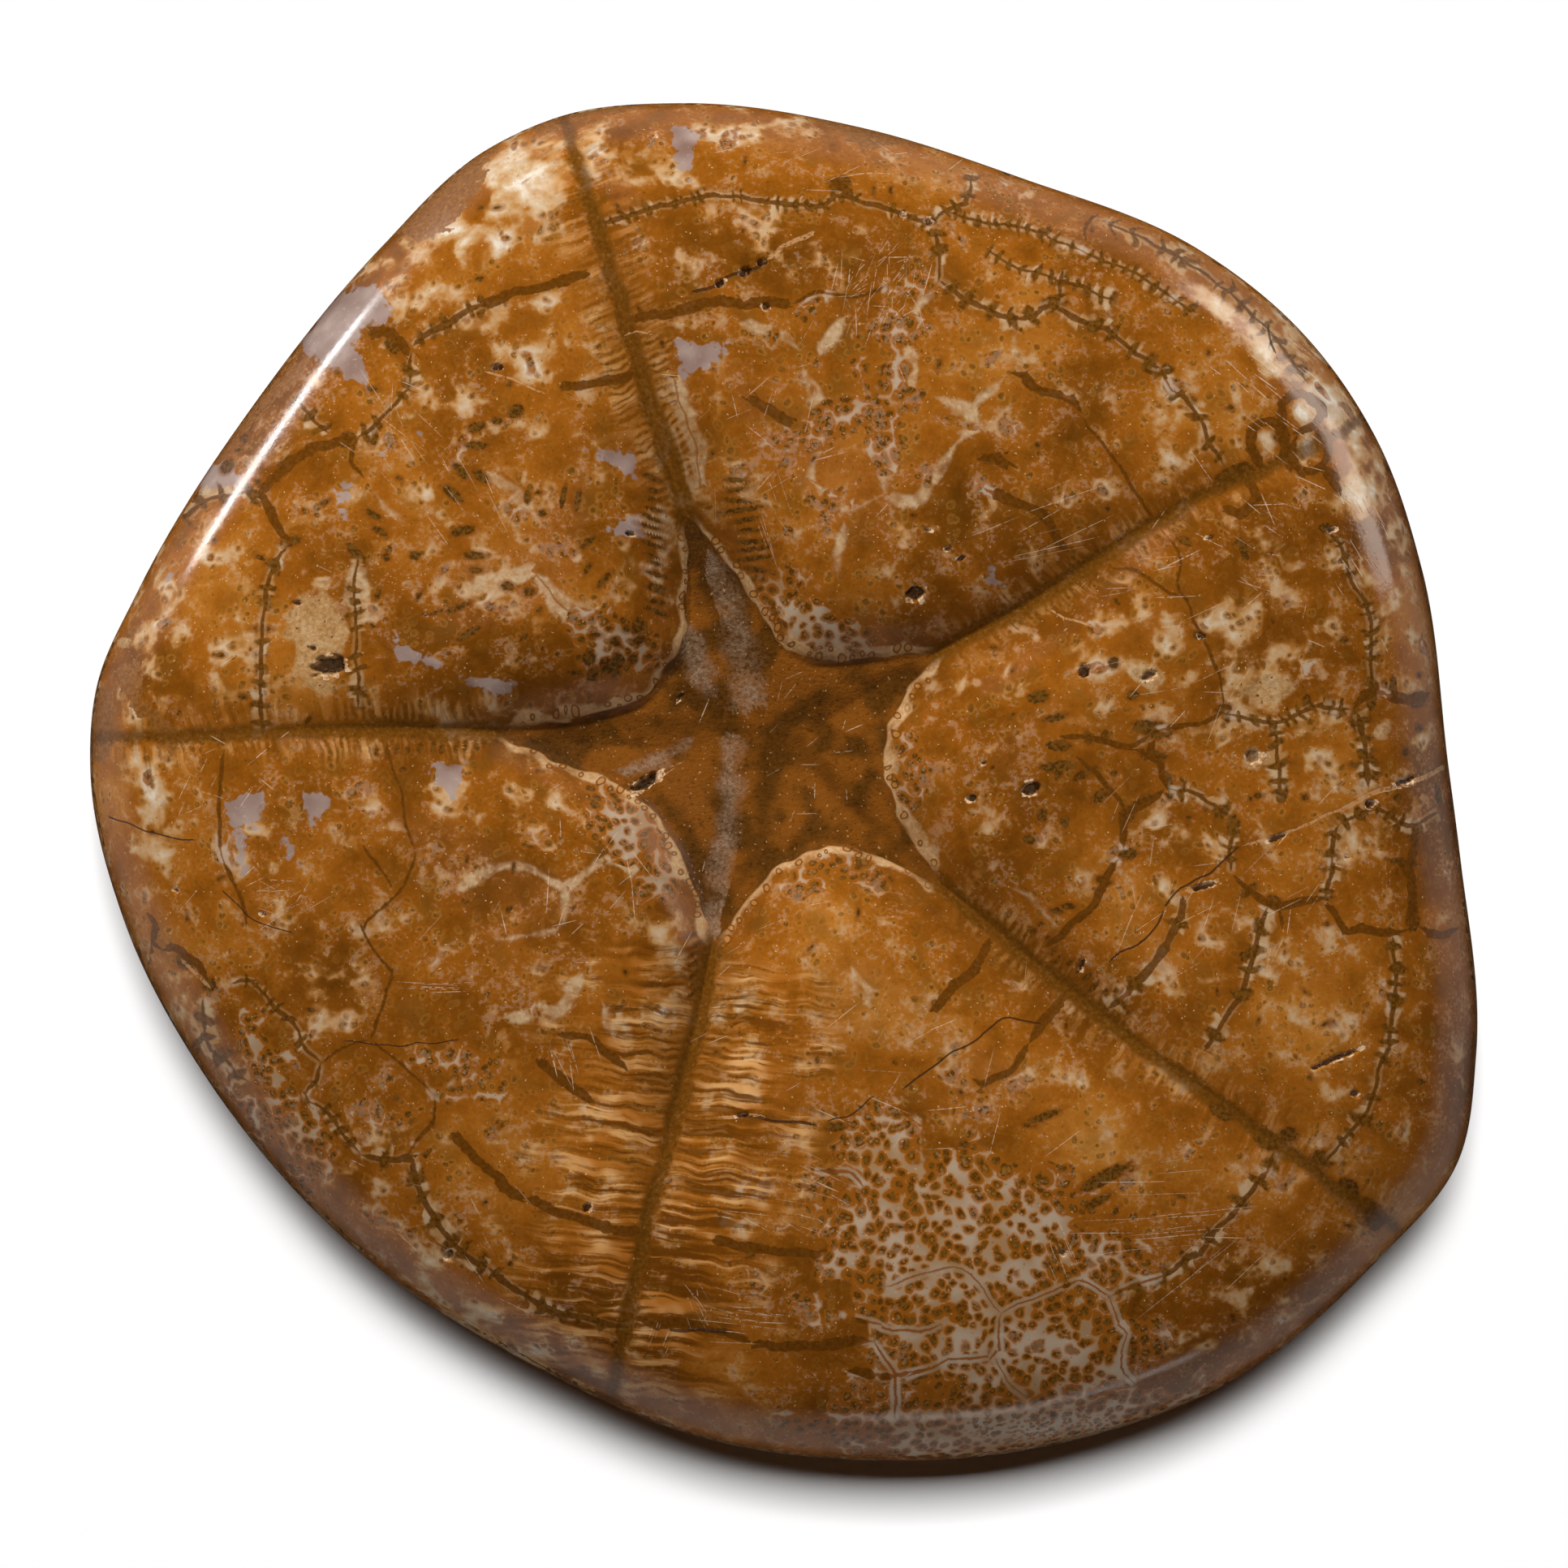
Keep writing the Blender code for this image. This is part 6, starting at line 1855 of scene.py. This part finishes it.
    def shader(self, colour: Wire) -> None:
        """The surface: its polish, and the little relief that is left in it."""
        g = self.graph
        rough_places = (self.hollow * 0.26).most(self.sediment * 0.12).most(self.chalked * 0.35)
        rough_places = rough_places.most(self.crumb * 0.5).most(self.cuts * 0.4)
        near_lip = self.lip_in.rise(-2.6, -0.6) * 0.3
        roughness = 0.15 + rough_places.most(near_lip) + self.grain * 0.1 + self.patch * 0.16 + self.middling * 0.1
        floor = self.lip_in.rise(0.0, 0.3)
        height = self.grain * (0.004 + floor * 0.09 + self.chalky * 0.05) - self.cuts * 0.035
        bump = g.node("ShaderNodeBump", None, {"Height": height, "Distance": MM, "Strength": 1.0})
        surface = g.node("ShaderNodeBsdfPrincipled", None, {
            "Base Color": colour, "Roughness": roughness, "IOR": 1.5,
            "Normal": Wire(g, bump.outputs[0], wide=True),
        })
        out = g.node("ShaderNodeOutputMaterial")
        g.tree.links.new(surface.outputs[0], out.inputs[0])


# ---------------------------------------------------------------------------------------------------
# The studio
# ---------------------------------------------------------------------------------------------------


class Lights(Enum):
    """What a lamp shines on."""

    EVERYTHING = "everything"
    STONE = "stone"
    FLOOR = "floor"


@dataclass(frozen=True)
class Lamp:
    """A soft box that looks at the stone.

    Args:
        name: Its name.
        azimuth: Its direction round the stone in degrees, from +X towards +Y.
        elevation: Its height over the horizon, in degrees.
        distance: How far away it is, in metres.
        size: Its width and height in metres.
        power: Its power in watts.
        colour: Its tint.
        glossy: Whether the polish mirrors it.
        diffuse: Whether it lights the stone.
        lights: What it shines on.
    """

    name: str
    azimuth: float
    elevation: float
    distance: float
    size: tuple[float, float]
    power: float
    colour: tuple[float, float, float] = (1.0, 1.0, 1.0)
    glossy: bool = True
    diffuse: bool = True
    lights: Lights = Lights.EVERYTHING

    def add(self, lit: bpy.types.Collection | None) -> None:
        """Makes the light.

        Args:
            lit: The only things that it shines on, where it doesn't shine on everything.
        """
        data = bpy.data.lights.new(self.name, "AREA")
        data.shape = "RECTANGLE"
        data.size, data.size_y = self.size
        data.energy = self.power
        data.color = self.colour
        turn, rise = math.radians(self.azimuth), math.radians(self.elevation)
        back = Vector((math.cos(turn) * math.cos(rise), math.sin(turn) * math.cos(rise), math.sin(rise)))
        light = bpy.data.objects.new(self.name, data)
        light.visible_glossy = self.glossy
        light.visible_diffuse = self.diffuse
        light.matrix_world = Matrix.LocRotScale(
            Vector((0, 0, 0.02)) + back * self.distance, back.to_track_quat("Z", "Y"), None
        )
        bpy.context.scene.collection.objects.link(light)
        if lit:
            light.light_linking.receiver_collection = lit


LAMPS = [
    Lamp("floor_light", 94, 82, 3.0, (0.46, 0.46), 153.0, glossy=False, lights=Lights.FLOOR),
    Lamp("key_light", 111, 42, 0.9, (0.2, 0.2), 11.0, glossy=False, lights=Lights.STONE),
    Lamp("top_light", 100, 84, 0.9, (0.2, 0.2), 2.0, glossy=False, lights=Lights.STONE),
    Lamp("front_fill", -70, 25, 0.9, (0.5, 0.3), 0.4, glossy=False, lights=Lights.STONE),
    Lamp("left_strip", 143, 2, 0.6, (0.15, 0.04), 0.65, diffuse=False),
    Lamp("right_box", 36, 8, 0.7, (0.5, 0.2), 1.6, (1.0, 0.88, 0.78), diffuse=False),
    Lamp("front_box", -75, 12, 0.7, (0.4, 0.05), 0.15, diffuse=False),
]


@dataclass
class Studio:
    """A plain white floor, soft lights and a dim room."""

    stone: bpy.types.Object
    floor_size: float = 4.0

    def build(self) -> None:
        """Makes the floor, the lights and the surrounding light."""
        bpy.ops.mesh.primitive_plane_add(size=self.floor_size, location=(0, 0, 0))
        floor = bpy.context.object
        floor.name = "floor"
        floor.visible_glossy = False
        graph = Graph(bpy.data.materials.new("white_floor"))
        surface = graph.node("ShaderNodeBsdfPrincipled", None, {
            "Base Color": (0.6, 0.6, 0.6, 1.0), "Roughness": 0.9, "Specular IOR Level": 0.0,
        })
        out = graph.node("ShaderNodeOutputMaterial")
        graph.tree.links.new(surface.outputs[0], out.inputs[0])
        floor.data.materials.append(graph.owner)
        lit: dict[Lights, bpy.types.Collection | None] = {Lights.EVERYTHING: None}
        for choice, thing in ((Lights.STONE, self.stone), (Lights.FLOOR, floor)):
            lit[choice] = bpy.data.collections.new(f"lit_{choice.value}")
            lit[choice].objects.link(thing)
        for lamp in LAMPS:
            lamp.add(lit[lamp.lights])
        bpy.context.scene.world = self.room()
        bpy.context.scene.view_settings.view_transform = "Standard"

    @staticmethod
    def room() -> bpy.types.World:
        """A dim room with a pale horizon, which only the polish mirrors."""
        world = bpy.data.worlds.new("dim_room")
        graph = Graph(world)
        direction = Wire(graph, graph.node("ShaderNodeTexCoord").outputs["Generated"], wide=True)
        up = direction.channel("z")
        strength = up.rise(0.3, 0.0) * up.rise(-0.85, -0.25) * 0.5 + 0.012
        light = graph.node("ShaderNodeBackground", None, {"Color": (1.0, 1.0, 1.0, 1.0), "Strength": strength})
        out = graph.node("ShaderNodeOutputWorld")
        graph.tree.links.new(light.outputs[0], out.inputs[0])
        world.cycles_visibility.diffuse = False
        world.cycles.sampling_method = "NONE"
        return world


def main() -> None:
    """Builds the stone, dresses it and lights it."""
    logging.basicConfig(level=logging.INFO, format="%(message)s")
    view = StudioView()
    view.add_camera()
    stone = Stone(StoneShape(), view).build()
    stone.data.materials.append(FossilFinish().build())
    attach(stone, "root")
    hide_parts(NODE)
    log.info("%s: %d faces, %d corners", stone.name, len(stone.data.polygons), len(stone.data.loops))
    Studio(stone).build()


if __name__ == "__main__":
    main()
